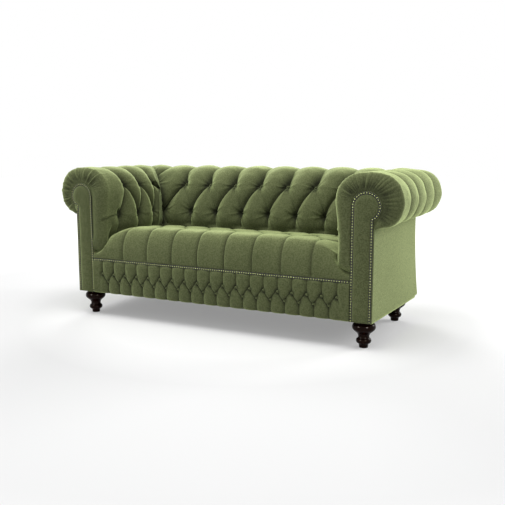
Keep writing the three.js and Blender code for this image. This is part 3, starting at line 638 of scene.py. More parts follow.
# A wall's cloth, drawn towards its partners by "pull" of its thickness, but not at its own two ends.
def drawnIn(cloth, partner, pull, rows, full=1.0):
    ends = smooth(rows / 0.6) * smooth((lastRow - rows) / 0.5)
    thick = np.linalg.norm(cloth - partner, axis=2)
    keep = full * (1 - pull * ends[None] / thick)
    return partner + (cloth - partner) * keep[:, :, None]


# Soft unevenness of stuffed cloth: a wide rumple and a finer one over it, none at the cloth's ends.
# Each has its reach along and up, its height and its shift.
stuffing = {"wide": (58.0, 52.0, 1.3), "fine": (21.0, 24.0, 0.45), "ends": 0.8}


def uneven(along, up, rows, seed, shifts=(0, 0)):
    total = 0
    for n, key in enumerate(("wide", "fine")):
        alongReach, upReach, height = stuffing[key]
        total = total + rumple(along / alongReach + shifts[n], up[None] / upReach, seed + n) * height
    return total * (smooth(rows / stuffing["ends"]) * smooth((lastRow - rows) / stuffing["ends"]))[None]


# The full ring round the front of an arm's roll: it starts behind the facing's edge and bulges forward.
armRing = {
    "start": 5.0, "depth": 31.0, "bulge": 14.0, "firstTurn": 0.05, "turns": 18, "gap": 3.5,
    "narrow": 86.0, "narrowFrom": 24.0, "blend": 270.0, "seed": {-1: 12, 1: 11},
}
# Gathers round the front of an arm's roll: narrow valleys between round ridges, each of its own
# depth, deepest at the nails and dying out along the roll. Values differ for the left (-1) and right.
gather = {
    "pitch": 20.0, "depth": {-1: 10.0, 1: 7.5}, "shade": {-1: 0.22, 1: 0.55}, "seed": {-1: 22, 1: 21},
    "from": 3.6, "to": 13.6, "crown": 0.3, "fades": 70.0, "wander": 0.35, "wanderReach": 37.0,
    "middle": 0.85, "valleyShade": 0.75,
}


# The root of a sine's size, one ridge per pitch, whose place wanders and whose height is its own.
def gatherWave(up, seed):
    at = up / gather["pitch"] + gather["wander"] * rumple(up / gather["wanderReach"], up * 0, seed)
    which = np.floor(at)
    depth = 0.55 + 0.45 * rumple(which, which * 0 + 3, seed + 1)
    return np.sqrt(np.abs(np.sin(math.pi * at))) * depth


# How far the gathers lift or sink each point of an arm pad, and the shade painted in their valleys and
# beside the nails. "turn" is how far a ring has come round the front edge.
def gathers(side, turn, behind, rows, up):
    onRoll = (smooth((rows - gather["from"]) / 1.2) * smooth((gather["to"] - rows) / 0.8))[None]
    reach = gather["fades"] * (0.75 + 0.35 * rumple(up / gather["pitch"], up * 0 + 7, 3))
    crown = 1 - (1 - gather["crown"]) * smooth((turn - 0.45) / 0.9)
    dying = crown[:, None] * (1 - smooth((behind[:, None] - 40) / reach[None]))
    dying = dying * smooth(np.arange(len(behind)) / 3)[:, None]
    ridges = (gatherWave(up, gather["seed"][side])[None] - gather["middle"]) * onRoll * dying
    # Painted shade beside the nails.
    shadeAtNails = gather["shade"][side] * (1 - smooth((turn - 0.1) / 0.55))[:, None] * onRoll
    return ridges * gather["depth"][side], gather["valleyShade"] * np.maximum(0, -ridges - 0.1) + shadeAtNails


# At the very front the foot of an arm pad hangs as a rounded lobe in front of the seat's corner.
footLobe = {
    "across": 700.0, "height": 337.0, "upper": ((638.0, 364.0), (636.0, 452.0), (636.0, 520.0)),
    "full": 26.0, "gone": 74.0, "rowStep": 1.5, "lastRow": 2.0,
}


# Slides the lowest rows of the front rings onto the lobe's track, and the hidden side down after them.
def dropFoot(cloth, partner, core, behind, fan, rows):
    share = (1 - smooth((behind - footLobe["full"]) / (footLobe["gone"] - footLobe["full"]))) * (fan <= 0)
    track = np.array([[footLobe["across"], footLobe["height"]], *footLobe["upper"]])
    wanted = curveThrough(track, np.clip(rows * footLobe["rowStep"], 0, len(track) - 1)) - [arm["inner"], 0]
    mix = share[:, None] * (1 - smooth((rows - footLobe["lastRow"] + 0.6) / 0.6))[None]
    cloth += (wanted[None] - cloth) * mix[:, :, None]
    drop = footLobe["height"] - arm["linerHeight"]
    partner[:, :, 1] += drop * share[:, None] * (1 - smooth(rows / 1.6))[None]
    core[:, -1, 1] += (footLobe["height"] - 2 - core[:, -1, 1]) * share


# A crease that runs forward and a little down from an arm's first lower button, with a ridge over it and shade
# painted along it.
armCrease = {
    "deep": 6.5, "wide": 3.2, "slope": 0.19, "level": 110.0, "above": 2.0, "from": 3.0, "to": 112.0,
    "ridge": 2.5, "ridgeAbove": 8.0, "ridgeWide": 7.0, "shade": 0.7,
}


# Points of an arm pad at each ring (behind or fan, and how full the roll is there) and row: the
# section, its inner face set out towards the front, folded, seamed and creased, with shade painted in all three,
# then set in plan.
def armPoints(side, behind, fan, full, rows, up, style):
    cloth, partner, core = sections(arm, back, fan, rows)
    thin = armRing["narrow"] * (1 - smooth((behind - armRing["narrowFrom"]) / armRing["blend"]))
    cloth[:, :, 0] += thin[:, None] * (1 - smooth((rows - 2) / turnRow))[None]
    dropFoot(cloth, partner, core, behind, fan, rows)
    bent, front, up = fan[:, None] > 0, behind[:, None], up[None]
    _, y, away = planPlace(cloth[:, :, 0], fan[:, None])
    along, away = np.where(bent, y, front), np.where(bent, away, corner["straight"])
    pull, fold = tufting(along, up + 0 * along, style)
    pull = pull * (1 - 0.5 * (1 - smooth((along - 90) / 120)) * (1 - smooth((up - style["high"]) / 60)))
    seam = seamPull(up, style, away)
    # Painted shade beside the mitre seam, as deep as the seam pulls.
    pull, fold = np.maximum(pull, seam), np.maximum(fold, np.minimum(1, seam / 18))
    near = smooth((front - armCrease["from"]) / 12) * smooth((armCrease["to"] - front) / 14) * ~bent
    slant = up - style["low"] - armCrease["above"] - armCrease["slope"] * (front - armCrease["level"])
    crease = bell(slant, armCrease["wide"]) * near
    ridge = bell(slant - armCrease["ridgeAbove"], armCrease["ridgeWide"]) * near
    pull = pull + armCrease["deep"] * crease - armCrease["ridge"] * ridge
    # Painted shade along the crease.
    fold = np.maximum(fold, armCrease["shade"] * crease)

    def placed(points):
        x, y, _ = planPlace(points[:, :, 0], fan[:, None])
        x, y = np.where(bent, x, points[:, :, 0]), np.where(bent, y, front)
        return np.stack([side * (arm["inner"] + x), frontY + y, points[:, :, 1]], -1)

    return placed(drawnIn(cloth, partner, pull, rows, full[:, None])), placed(core), along, fold


# Rings run round the front edge, along the arm, then round the fan to the mitre. Gathers and
# unevenness move the points along their normals.
def makeArmPad(name, side):
    rows, up, length = evenSpots(clothPoints(arm), clothStep)
    style = wallStyle(arm, length, armStyle, seed=armRing["seed"][side])
    turn = np.linspace(armRing["firstTurn"], math.pi / 2, armRing["turns"])
    edge = armRing["start"] + armRing["depth"] * (1 - np.cos(turn))
    edge = edge - armRing["bulge"] * np.sin(2 * turn) * np.cos(turn)
    firstStraight = armRing["start"] + armRing["depth"] + armRing["gap"]
    straight = np.arange(firstStraight, corner["straight"], clothStep)
    fans = np.linspace(0, 1, corner["steps"])
    behind = np.concatenate([edge, straight, np.full(len(fans), corner["straight"])])
    fan = np.concatenate([np.zeros(len(edge) + len(straight)), fans])
    full = np.append(np.sin(turn), np.ones(len(straight) + len(fans)))
    shown, hidden, along, fold = armPoints(side, behind, fan, full, rows, up, style)
    turned = np.append(turn, np.full(len(straight) + len(fans), 2.0))
    waves, dark = gathers(side, turned, behind, rows, up)
    waves = waves + uneven(along, up, rows, 31) * smooth((behind[:, None] - 6) / 30)
    shown = shown - gridNormals(shown) * side * waves[:, :, None]
    # The painted shade of the gathers joins that of the folds.
    fold, hiddenUp = np.clip(fold + dark, 0, 1), np.full(hidden.shape[1], up[-1] + 5)
    return paddedBody(name, shown, hidden, along[:, 0], up, hiddenUp, fold, velvet)


# Points of the back pad at each ring, found as an arm's are; "across" is the distance from the middle.
def backPoints(fan, across, side, rows, up, style):
    cloth, partner, core = sections(back, arm, fan, rows)
    bent, side, up = fan[:, None] > 0, side[:, None], up[None]

    def spot(out):
        x, y, away = planPlace(out, fan[:, None])
        y = np.where(bent, y - back["inner"] + arm["inner"], across[:, None])
        return np.where(bent, x, out), y, np.where(bent, away, cornerReach)

    def placed(points):
        x, y, _ = spot(points[:, :, 0])
        return np.stack([side * y, frontY + back["inner"] + x, points[:, :, 1]], -1)

    _, along, away = spot(cloth[:, :, 0])
    pull, fold = tufting(along, up + 0 * along, style, side)
    seam = seamPull(up, style, away)
    # Painted shade beside the mitre seam, as deep as the seam pulls.
    pull, fold = np.maximum(pull, seam), np.maximum(fold, np.minimum(1, seam / 24))
    return placed(drawnIn(cloth, partner, pull, rows)), placed(core), along, fold


# Rings run from the left mitre round its fan, across the back and round the right fan.
def makeBackPad(name):
    rows, up, length = evenSpots(clothPoints(back), clothStep)
    style = wallStyle(back, length, backStyle)
    across = np.linspace(cornerReach, 0, 118)
    fans = np.linspace(1, 0, corner["steps"])[:-1]
    fan = np.append(fans, 0 * across)
    across = np.append(np.full(len(fans), cornerReach), across)
    side = np.append(-np.ones(len(fan)), np.ones(len(fan) - 1))
    fan, across = (np.append(half, half[-2::-1]) for half in (fan, across))
    shown, hidden, along, fold = backPoints(fan, across, side, rows, up, style)
    along = along * side[:, None]
    shown = shown + gridNormals(shown) * uneven(along, up, rows, 41, (40, 90))[:, :, None]
    hiddenUp = np.full(hidden.shape[1], up[-1] + 5)
    return paddedBody(name, shown, hidden, along[:, 0], up, hiddenUp, fold, velvet)


# "fill", how much of the gap between cloth and frame is stuffing, is not used.
def paddedPiece(piece, fill, *nodes):
    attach(piece, "root")
    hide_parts(*nodes)
    return piece


paddedPiece(makeArmPad("armPadLeft", -1), 0.85, "arm_pad_left")
paddedPiece(makeArmPad("armPadRight", 1), 0.85, "arm_pad_right")
paddedPiece(makeBackPad("backPad"), 0.85, "back_pad")
print("arms and back made")


# The seat pad. "rows" is where the first row of tufts lies behind the front, and the gap to the next.
seat = {
    "under": 297.5, "underFront": 12.0, "front": 303.5, "crest": 475.0, "rear": 546.0, "pitch": 148.0,
    "rows": (146.0, 118.0), "pleat": 11.0, "pleatFlat": 0.42, "tuft": 9.5, "topFlat": 0.6, "pit": 8.0,
    "pitReach": 9.0, "shoulderOut": 26.0, "shoulder": 428.0, "lowShare": 0.9, "square": 11,
    "cutFrom": 616.0, "cutBack": 14.0, "vary": 1.4, "wrinkle": 0.9, "wrinkleReach": 16.0, "columns": 334,
    "shares": [
        [0.008, 0], [0, 0.16], [0.003, 0.39], [0.021, 0.62], [0.054, 0.81],
        [0.106, 0.95], [0.172, 1], [0.275, 0.994], [0.42, 0.96], [0.6, 0.913], [0.8, 0.849],
    ],
}
seatRise = seat["crest"] - seat["front"]
armFootAcross = arm["inner"] + arm["shares"][0][0] * arm["reach"]
footSlope = (arm["foot"] - arm["linerHeight"]) / (arm["liner"] - fit - armFootAcross)
shoulderAcross = armFootAcross + seat["shoulderOut"]


# The seat's middle section: distances behind the front, and shares of the rise from "front" to "crest".
# It ends 1 mm under the back pad's foot and under its lining.
def seatRows():
    backFoot = back["foot"] + back["shares"][0][1] * back["rise"]
    backFootBehind = back["inner"] + back["shares"][0][0] * back["reach"]
    rows = [[share * seat["rear"], lift] for share, lift in seat["shares"]]
    rows.append([backFootBehind - 1, (backFoot - 1 - seat["front"]) / seatRise])
    rows.append([seat["rear"], (back["linerHeight"] - 1 - seat["front"]) / seatRise])
    return np.array(rows)


# The seat without its folds. Its crown is flat across and falls off as a high power of the distance
# from the middle, down to the shoulders that run in under the arms' feet.
def seatShape(x, profile):
    behind, lift = profile[None, :, 0], np.clip(profile[None, :, 1], 0, 1)
    crest = seat["front"] + profile[None, :, 1] * seatRise
    share = np.maximum(0, 1 - (np.abs(x) / shoulderAcross) ** seat["square"])
    shoulder = seat["shoulder"] - (np.maximum(np.abs(x), shoulderAcross) - shoulderAcross) * footSlope
    low = seat["front"] + (shoulder - seat["front"]) * np.minimum(1, lift / seat["lowShare"])
    height = np.minimum(crest, low + (crest - low) * share)
    behind = behind + 0 * height
    # the front corner is cut low and set back, where the arm's foot hangs in front of it
    cut = smooth((np.abs(x) - seat["cutFrom"]) / 20) * (1 - smooth((behind - 24) / 36))
    under = footLobe["height"] + 2 + 34 * ((sofa["facingInner"] - np.abs(x)) / 66) ** 2
    lowest = seat["front"] + (under - seat["front"]) * np.clip(lift / 0.6, 0, 1)
    behind = behind + cut * seat["cutBack"] * smooth((height - under + 8) / 20)
    return behind, height + (np.minimum(height, lowest) - height) * cut


# Depth of the seat's folds and the shade painted in them and round the tufts. The fold lines run straight up
# the front, then slantwise from tuft to tuft over the top, so that the cloth stands in low diamonds.
def seatFolds(x, behind):
    start, gap = seat["rows"]
    onFront = behind < start
    turn = np.maximum(0, (behind - start) / gap)
    step, part = np.floor(turn), turn % 1
    place = x / seat["pitch"] + np.where(step % 2 == 0, 0.5, 0.0)
    across, half = (place - np.round(place)) * seat["pitch"], np.abs(place - np.round(place)) * 2
    size = np.where(half < part, part, 1 - part)
    away = np.abs(part - half) / np.maximum(size, 1e-6)
    crown = np.sqrt(np.maximum(size, 0)) * puff(away / np.where(onFront, seat["pleatFlat"], seat["topFlat"]))
    depth = seat["pleat"] + (seat["tuft"] - seat["pleat"]) * smooth((behind - 60) / 80)
    nextAcross = (place + 0.5 - np.round(place + 0.5)) * seat["pitch"]
    toTuft = np.minimum(np.hypot(across, part * gap), np.hypot(nextAcross, (1 - part) * gap))
    toTuft = np.where(onFront, np.hypot(across, start - behind), toTuft)
    edge = smooth((shoulderAcross + 8 - np.abs(x)) / 30) * smooth((seat["rear"] - 40 - behind) / 30)
    onTop = smooth((behind - start + 30) / 30)
    vary = rumple(np.round(place - 0.5) + 50, behind / 150, 51) * seat["vary"]
    pull = (depth * (1 - crown) + vary * crown + seat["pit"] * bell(toTuft, seat["pitReach"]) * onTop) * edge
    rays, spread = np.cos(np.arctan2(part * gap, half) * 8 + place * 5), toTuft / seat["wrinkleReach"]
    pull = pull + rays * seat["wrinkle"] * spread * np.exp(1 - spread) * onTop * edge
    # Painted shade: down the folds and round each tuft.
    fold = ((1 - crown) ** 1.1 + 0.6 * bell(toTuft, 15) * onTop) * edge * 0.95
    return pull, np.clip(fold, 0, 1)


def makeSeat(name):
    rows = seatRows()
    spots, up, _ = evenSpots(rows * [1, seatRise], 4.0)
    across = np.linspace(-sofa["facingInner"] + fit, sofa["facingInner"] - fit, seat["columns"])
    x = across[:, None]
    behind, height = seatShape(x, curveThrough(rows, spots))
    base = np.stack([x + 0 * height, frontY + behind, height], -1)
    pull, fold = seatFolds(x, behind)
    soft = rumple(x / 70 + 60, behind / 60, 61) * 1.4
    soft = soft + rumple(x / 23 + 80, behind / 23 + height / 23, 62) * 0.4
    ends = (smooth(up / 16) * smooth((up[-1] - up) / 40))[None]
    normal = gridNormals(base)
    normal = normal * np.sign(normal[:, len(spots) // 2, 2].mean())
    shown = base - normal * ((pull - soft) * ends)[:, :, None]
    hiddenX, hiddenY = np.meshgrid(across, [frontY + seat["rear"], frontY + seat["underFront"]], indexing="ij")
    hidden = np.stack([hiddenX, hiddenY, 0 * hiddenX + seat["under"]], -1)
    return paddedBody(name, shown, hidden, across, up, [up[-1] + 5, up[-1] + 9], fold, velvetSeatPaintedLight)


paddedPiece(makeSeat("seatPad"), 0.9, "seat_pad")
print("seat made")


# The front border. "high" and "low" are the heights of its button rows, with "columns" buttons on each
# side of the middle one.
border = {
    "top": 297.2, "foot": 124.3, "back": 12.0, "pitch": 71.6, "columns": 9, "high": 227.0, "low": 189.0,
    "face": 4.0, "bow": 12.0, "scallop": 4.5, "crown": 2.0, "rumple": 0.5, "shade": 0.9,
    "buttonRadius": 6.2, "buttonHeight": 3.8, "buttonSunk": 0.6,
}
borderStyle = {
    **tuftStyle, "low": border["low"], "high": border["high"], "pitch": border["pitch"], "first": 0.0,
    "depth": 15.5, "tip": 0.4, "round": 1.5, "lean": 0.5, "below": 0.78, "above": 0.7, "aboveReach": 24.0,
    "vary": 1.5, "pit": -3.5, "pitReach": 8.0, "crease": 0.8, "creaseReach": 7.0, "seed": 71,
    "funnelWide": 9.0, "funnelTall": 1.0, "funnel": 1.0,
}


# A band that bows forward as a quarter ellipse from its top and from its foot, with the folds of its
# buttons between the last columns, and scallops along the foot where the folds end.
def makeBorder(name):
    across = np.linspace(-sofa["facingInner"] + fit, sofa["facingInner"] - fit, 480)
    height = np.linspace(border["top"], border["foot"], 62)
    x, z = across[:, None], height[None]
    pull, fold = tufting(x + 1000 * border["pitch"], z + 0 * x, borderStyle)
    inside = smooth((border["columns"] * border["pitch"] + 22 - np.abs(x)) / 20)
    fromTop, fromFoot = border["top"] - z, z - border["foot"]
    ends = smooth(fromTop / 7 + 0.45) * smooth(fromFoot / 7 + 0.35)
    bow = border["bow"] * puff(np.minimum(fromTop / 30, fromFoot / 34))
    behind = border["face"] - bow + (pull - border["crown"]) * ends * inside
    behind = behind + rumple(x / 40 + 30, z / 40, 72) * border["rumple"]
    behind = np.minimum(behind, border["back"] - 1.5)
    lift = border["scallop"] * fold * inside * smooth((30 - fromFoot) / 30)
    shown = np.stack([x + 0 * z, frontY + behind, z + lift], -1)
    hiddenX, hiddenZ = np.meshgrid(across, [border["foot"], border["top"]], indexing="ij")
    hidden = np.stack([hiddenX, 0 * hiddenX + frontY + border["back"], hiddenZ], -1)
    # Painted shade in the folds between the buttons.
    return paddedBody(name, shown, hidden, across, height, [110, 105], fold * inside * border["shade"], velvet)


paddedPiece(makeBorder("frontBorder"), 0.7, "front_border")
print("border made")


# A button or a nail head is a low dome with a rolled edge: shares of radius and height, turned round.
# It has triangles round its tip, four-sided faces below them and a flat base.
domeRings = np.array([[0.45, 0.93], [0.78, 0.66], [0.97, 0.25], [1.0, -0.15], [0.8, -0.5]])


def domeShape(radius, height, sides=14):
    angle, n = np.linspace(0, 2 * math.pi, sides, endpoint=False), np.arange(sides)
    across, tall = domeRings[:, :1] * radius, domeRings[:, 1:] * height
    rings = np.stack([across * np.cos(angle), across * np.sin(angle), tall + 0 * angle], -1)
    points = np.vstack([[[0, 0, height]], rings.reshape(-1, 3)])
    after, start = (n + 1) % sides, 1 + np.arange(len(domeRings) - 1)[:, None] * sides
    tip = np.stack([0 * n, 1 + n, 1 + after], -1)
    walls = np.stack([start + n, start + sides + n, start + sides + after, start + after], -1)
    corners = np.concatenate([tip.ravel(), walls.ravel(), start[-1] + sides + n[::-1]])
    return points, corners, np.repeat([3, 4, sides], [len(tip), walls.size // 4, 1])


# Copies of one shape, each turned so that its top faces along its own direction, with one mark of painted shade.
def scatter(name, shape, places, directions, material, fold=0.0):
    points, corners, sizes = shape
    places, out = np.asarray(places, float), unit(np.asarray(directions, float))
    side = unit(np.cross([0, 0, 1], out))
    basis = np.stack([side, np.cross(out, side), out], 1)
    every = (np.einsum("vk,nkc->nvc", points, basis) + places[:, None]).reshape(-1, 3)
    corners = corners + np.arange(len(places))[:, None] * len(points)
    marks = {"fold": np.full(len(every), fold)}
    return newMesh(name, every, corners.ravel(), np.tile(sizes, len(places)), every[:, :2], marks, [material])


# The wall buttons: the low row looks level, the high row looks up. Their "shade" is painted shade: full on the low
# row, less on the high.
buttons = {"radius": 10.5, "height": 5.5, "tilt": (0.05, 0.45), "shade": (1.0, 0.7)}
armColumns = ((-0.5, 0.5, 1.5), (0.0, 1.0, 2.0))  # in pleats behind the first button of the upper row
backColumns = ((0.5, 1.5, 2.5), (0.0, 1.0, 2.0, 3.0))  # in pleats from the middle


# The fan at which a wall's cloth reaches a wanted distance along it, found on a fine scale.
def fanFor(points, wanted):
    fans = np.linspace(0.001, 1, 500)
    return fans[np.argmin(np.abs(points(fans)[:, 0] - wanted))]


# Places and directions of one row of buttons: those of both arms and the back, and one on each mitre.
# Each lies where its wall's own points do.
def wallRow(row):
    places, directions, one, tilt = [], [], np.ones(1), buttons["tilt"][row]
    armRow, backRow = (np.array([wall["buttonRows"][row]]) for wall in (arm, back))
    armLength, backLength = (evenSpots(clothPoints(wall), clothStep)[2] for wall in (arm, back))
    armUp, backUp = armLength(armRow), backLength(backRow)
    for side in (-1, 1):
        style = wallStyle(arm, armLength, armStyle, seed=armRing["seed"][side])

        def alongFor(fans):
            full = 0 * fans + 1
            return armPoints(side, full * corner["straight"], fans, full, armRow, armUp, style)[2]

        for step in armColumns[row]:
            behind, fan = style["first"] + style["pitch"] * step, 0.0
            if behind > corner["straight"]:
                fan, behind = fanFor(alongFor, behind), corner["straight"]
            places.append(armPoints(side, one * behind, one * fan, one, armRow, armUp, style)[0][0, 0])
            directions.append([-side, -fan, tilt])
        style = wallStyle(back, backLength, backStyle)
        for step in backColumns[row]:
            if step > 0 or side > 0:
                across = one * step * style["pitch"]
                places.append(backPoints(one * 0, across, one * side, backRow, backUp, style)[0][0, 0])
                directions.append([0, -1, tilt])
        places.append(backPoints(one, one * cornerReach, one * side, backRow, backUp, style)[0][0, 0])
        directions.append([-side, -1, tilt])
    return places, directions


def makeWallButtons(name, row):
    shape = domeShape(buttons["radius"], buttons["height"])
    piece = scatter(name, shape, *wallRow(row), velvet, buttons["shade"][row])
    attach(piece, "root")


# Two straight rows, the lower one shifted by half a pitch.
def makeBorderButtons(name):
    high = np.arange(-border["columns"], border["columns"] + 1)
    low = high[:-1] + 0.5
    across = np.append(high, low) * border["pitch"]
    height = np.repeat([border["high"], border["low"]], [len(high), len(low)])
    places = np.stack([across, 0 * across + frontY + border["buttonSunk"], height], -1)
    shape = domeShape(border["buttonRadius"], border["buttonHeight"], 12)
    piece = scatter(name, shape, places, [[0, -1, 0]] * len(places), velvet)
    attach(piece, "root")


makeWallButtons("wallButtonsLow", 0)
makeWallButtons("wallButtonsHigh", 1)
makeBorderButtons("borderButtons")
print("buttons made")


# Outline of a facing, grown outwards by "grow": up its inner side, round the head and down outside.
def keyhole(grow, foot, steps=40):
    arc = headArc(headAcross, sofa["headHeight"], sofa["headRadius"] + grow, sofa["facingAcross"] + grow, steps)
    start = np.linspace(foot, arc[0][1], 24)[:-1]
    end = np.linspace(arc[-1][1], foot, 20)[1:]
    left = np.stack([np.full(len(start), sofa["facingInner"] - grow), start], -1)
    right = np.stack([np.full(len(end), sofa["facingAcross"] + grow), end], -1)
    return np.vstack([left, arc, right])


# Layers of a facing, as how far each outline is grown and how far behind the front plane it lies: from
# the rear, over the rounded edge, then under the nails and out to the domed middle.
facingLayers = [
    (0, 8.0), (0, 2.4), (-0.7, 0.9), (-2.2, 0.15), (-5.0, 0.0), (-9.5, 0.0), (-12.6, 0.0), (-14.5, -1.6),
    (-18.0, -3.8), (-24.0, -6.2), (-31.0, -7.8), (-38.0, -8.5), (-45.0, -8.7),
]


def makeFacing(name, side, node):
    rings = []
    for grow, behind in facingLayers:
        line = keyhole(grow, sofa["bottomHeight"] - grow * 0.5)
        rings.append(np.stack([side * line[:, 0], np.full(len(line), frontY + behind), line[:, 1]], -1))
    rings = np.array(rings)
    piece = loftBody(name, rings, rings.reshape(-1, 3)[:, [0, 2]], None, [velvetPlain])
    return paddedPiece(piece, 0.3, node)


# The nail trim. "inset" is how far its line lies inside a facing's outline.
nails = {
    "pitch": 12.0, "radius": 2.8, "height": 2.1, "proud": 1.0, "inset": 6.4, "seamEnd": 697.0,
    "gimpWidth": 12.5, "gimpThick": 1.2, "gimpProud": 0.1, "gimpSides": 7,
}


# A strip with a half-round top, carried along a line in the front plane. Its map is length and width.
def makeShadeBandStrip(name, line):
    step = unit(np.gradient(line, axis=0))
    normal = np.stack([-step[:, 1], step[:, 0]], -1)
    angle = np.linspace(0, math.pi, nails["gimpSides"])
    across, proud = np.cos(angle) * nails["gimpWidth"] / 2, np.sin(angle) * nails["gimpThick"]
    flat = line[:, None] + normal[:, None] * across[None, :, None]
    y = frontY - nails["gimpProud"] - proud[None] + 0 * flat[:, :, 0]
    uv = np.stack(np.meshgrid(lengthsAlong(line), across, indexing="ij"), -1)
    rings = np.stack([flat[:, :, 0], y, flat[:, :, 1]], -1)
    piece = loftBody(name, rings, uv.reshape(-1, 2), None, [gimpBraid])
    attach(piece, "root")


# Points at an even pitch along a line.
def spaced(line, pitch):
    gone = lengthsAlong(line)
    stops = np.linspace(pitch / 2, gone[-1] - pitch / 2, int(gone[-1] / pitch))
    return np.stack([np.interp(stops, gone, line[:, n]) for n in (0, 1)], -1)


def makeNails(name, line, node):
    spots = spaced(line, nails["pitch"])
    places = np.stack([spots[:, 0], np.full(len(spots), frontY - nails["proud"]), spots[:, 1]], -1)
    shape = domeShape(nails["radius"], nails["height"], 9)
    piece = scatter(name, shape, places, [[0, -1, 0]] * len(places), nailMetal)
    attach(piece, "root")
    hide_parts(node)
    return len(spots)


total = 0
for word, side in (("Left", -1), ("Right", 1)):
    makeFacing("armFacing" + word, side, "arm_facing_" + word.lower())
    line = keyhole(-nails["inset"], sofa["bottomHeight"] + 1) * [side, 1]
    # A near-black band of painted shade under each facing's nails.
    makeShadeBandStrip("gimp" + word, line)
    total += makeNails("nails" + word, line, "nail_strip_" + word.lower())
seam = np.stack([np.linspace(-nails["seamEnd"], nails["seamEnd"], 60), np.full(60, sofa["nailHeight"])], -1)
# The same band of painted shade under the front row of nails.
makeShadeBandStrip("gimpFront", seam)
total += makeNails("nailsFront", seam, "nail_strip_front")
print("facings made,", total, "nails")


# The outside panels. The arms' run along the sides, turn round the rear corners with "radius" and meet
# the back's at "seam". "sideLength" and "length" are lengths on the map, of the side and of the whole.
panels = {
    "footRound": 14.0, "thick": 3.0, "sideTopRear": 830.0, "sideFootRear": 850.0, "backTop": 700.0,
    "backFootOut": 714.0, "radius": 50.0, "seam": 780.0, "bulge": 0.96, "tuckFrom": 640.0, "rows": 46,
    "sideLength": 650.0, "length": 740.0,
}


# Square of the share of the way down a panel: the panels flare towards their foot.
def flare(height):
    share = (sofa["panelTop"] - height) / (sofa["panelTop"] - sofa["bottomHeight"])
    return share * share


# How far across an arm's panel stands, on a straight line from the facing to the rear.
def sideAcross(height, behind):
    rear = panels["sideTopRear"] + (panels["sideFootRear"] - panels["sideTopRear"]) * flare(height)
    front = sofa["facingAcross"] + fit + panels["thick"]
    return front + (rear - front) * behind / panels["backTop"]


# How far behind the front plane the back's panel stands.
def backOut(height):
    return panels["backTop"] + (panels["backFootOut"] - panels["backTop"]) * flare(height)


# The panels tuck in at the foot of a rear corner, as a quarter round.
def tucked(height):
    gone = 1 - np.clip((height - sofa["bottomHeight"]) / panels["footRound"], 0, 1)
    return panels["footRound"] * (1 - np.sqrt(1 - gone * gone)) * 0.8


# Points round a thin panel's section, up its outside and down its inside: height and inset.
def panelSection():
    height = np.linspace(sofa["bottomHeight"], sofa["panelTop"], panels["rows"])
    return np.append(height, height[::-1])[None], np.repeat([0.0, panels["thick"]], panels["rows"])[None]


# Three runs of sections: along the side with a slight bulge, round the corner, and one at the seam.
def makeOutsideArm(name, side, node):
    height, inset = panelSection()
    rear, tuck = backOut(height), tucked(height)
    centre = rear - panels["radius"]
    stop, turn = np.linspace(0, 1, 64)[:, None], np.linspace(0, math.pi / 2, 12)[1:, None]
    behind = fit + (centre - fit) * stop
    bulge = panels["bulge"] * np.sin(math.pi * stop) * np.sin(math.pi * (height - sofa["bottomHeight"]) / 412)
    across = sideAcross(height, behind) - inset + bulge - tuck * smooth((stop - 0.93) / 0.07)
    radius = panels["radius"] - inset - tuck
    turnAcross = sideAcross(height, centre) - panels["radius"] + radius * np.cos(turn)
    x = np.vstack([across, turnAcross, 0 * height + panels["seam"]]) * side
    y = frontY + np.vstack([behind, centre + radius * np.sin(turn), rear - inset - tuck])
    rings = np.stack([x, y, height + 0 * x], -1)
    lengths = [stop * panels["sideLength"], panels["sideLength"] + turn * panels["radius"], [[panels["length"]]]]
    uv = np.stack([np.vstack(lengths) + 0 * x, rings[:, :, 2]], -1)
    piece = loftBody(name, rings, uv.reshape(-1, 2), None, [velvetPlain])
    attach(piece, "root")
    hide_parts(node)


# The same section carried from seam to seam; it tucks in only near the corners.
def makeOutsideBack(name, node):
    half = panels["seam"] - fit
    height, inset = panelSection()
    across = np.linspace(-half, half, 90)[:, None]
    tuck = tucked(height) * smooth((np.abs(across) - panels["tuckFrom"]) / (half - panels["tuckFrom"]))
    y = frontY + backOut(height) - inset - tuck
    rings = np.stack([across + 0 * y, y, height + 0 * y], -1)
    piece = loftBody(name, rings, rings.reshape(-1, 3)[:, [0, 2]], None, [velvetPlain])
    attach(piece, "root")
    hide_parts(node)


makeOutsideArm("outsideArmLeft", -1, "outside_arm_left")
makeOutsideArm("outsideArmRight", 1, "outside_arm_right")
makeOutsideBack("outsideBack", "outside_back")
print("outside panels made")


# A turned leg, as shares of its height and of its largest radius, from the foot up.
leg = {
    "radius": 52.5, "bore": 4.3, "boreDepth": 30.0, "sides": 56, "rows": 120,
    "shares": [
        [0, 0.35], [0.012, 0.375], [0.1, 0.4], [0.145, 0.46], [0.175, 0.565], [0.215, 0.63], [0.265, 0.645],
        [0.315, 0.61], [0.35, 0.52], [0.395, 0.475], [0.45, 0.485], [0.53, 0.58], [0.61, 0.8], [0.68, 0.95],
        [0.76, 1], [0.84, 0.96], [0.885, 0.87], [0.905, 0.79], [0.92, 0.79], [0.94, 0.84], [0.975, 0.85], [1, 0.8],
    ],
}


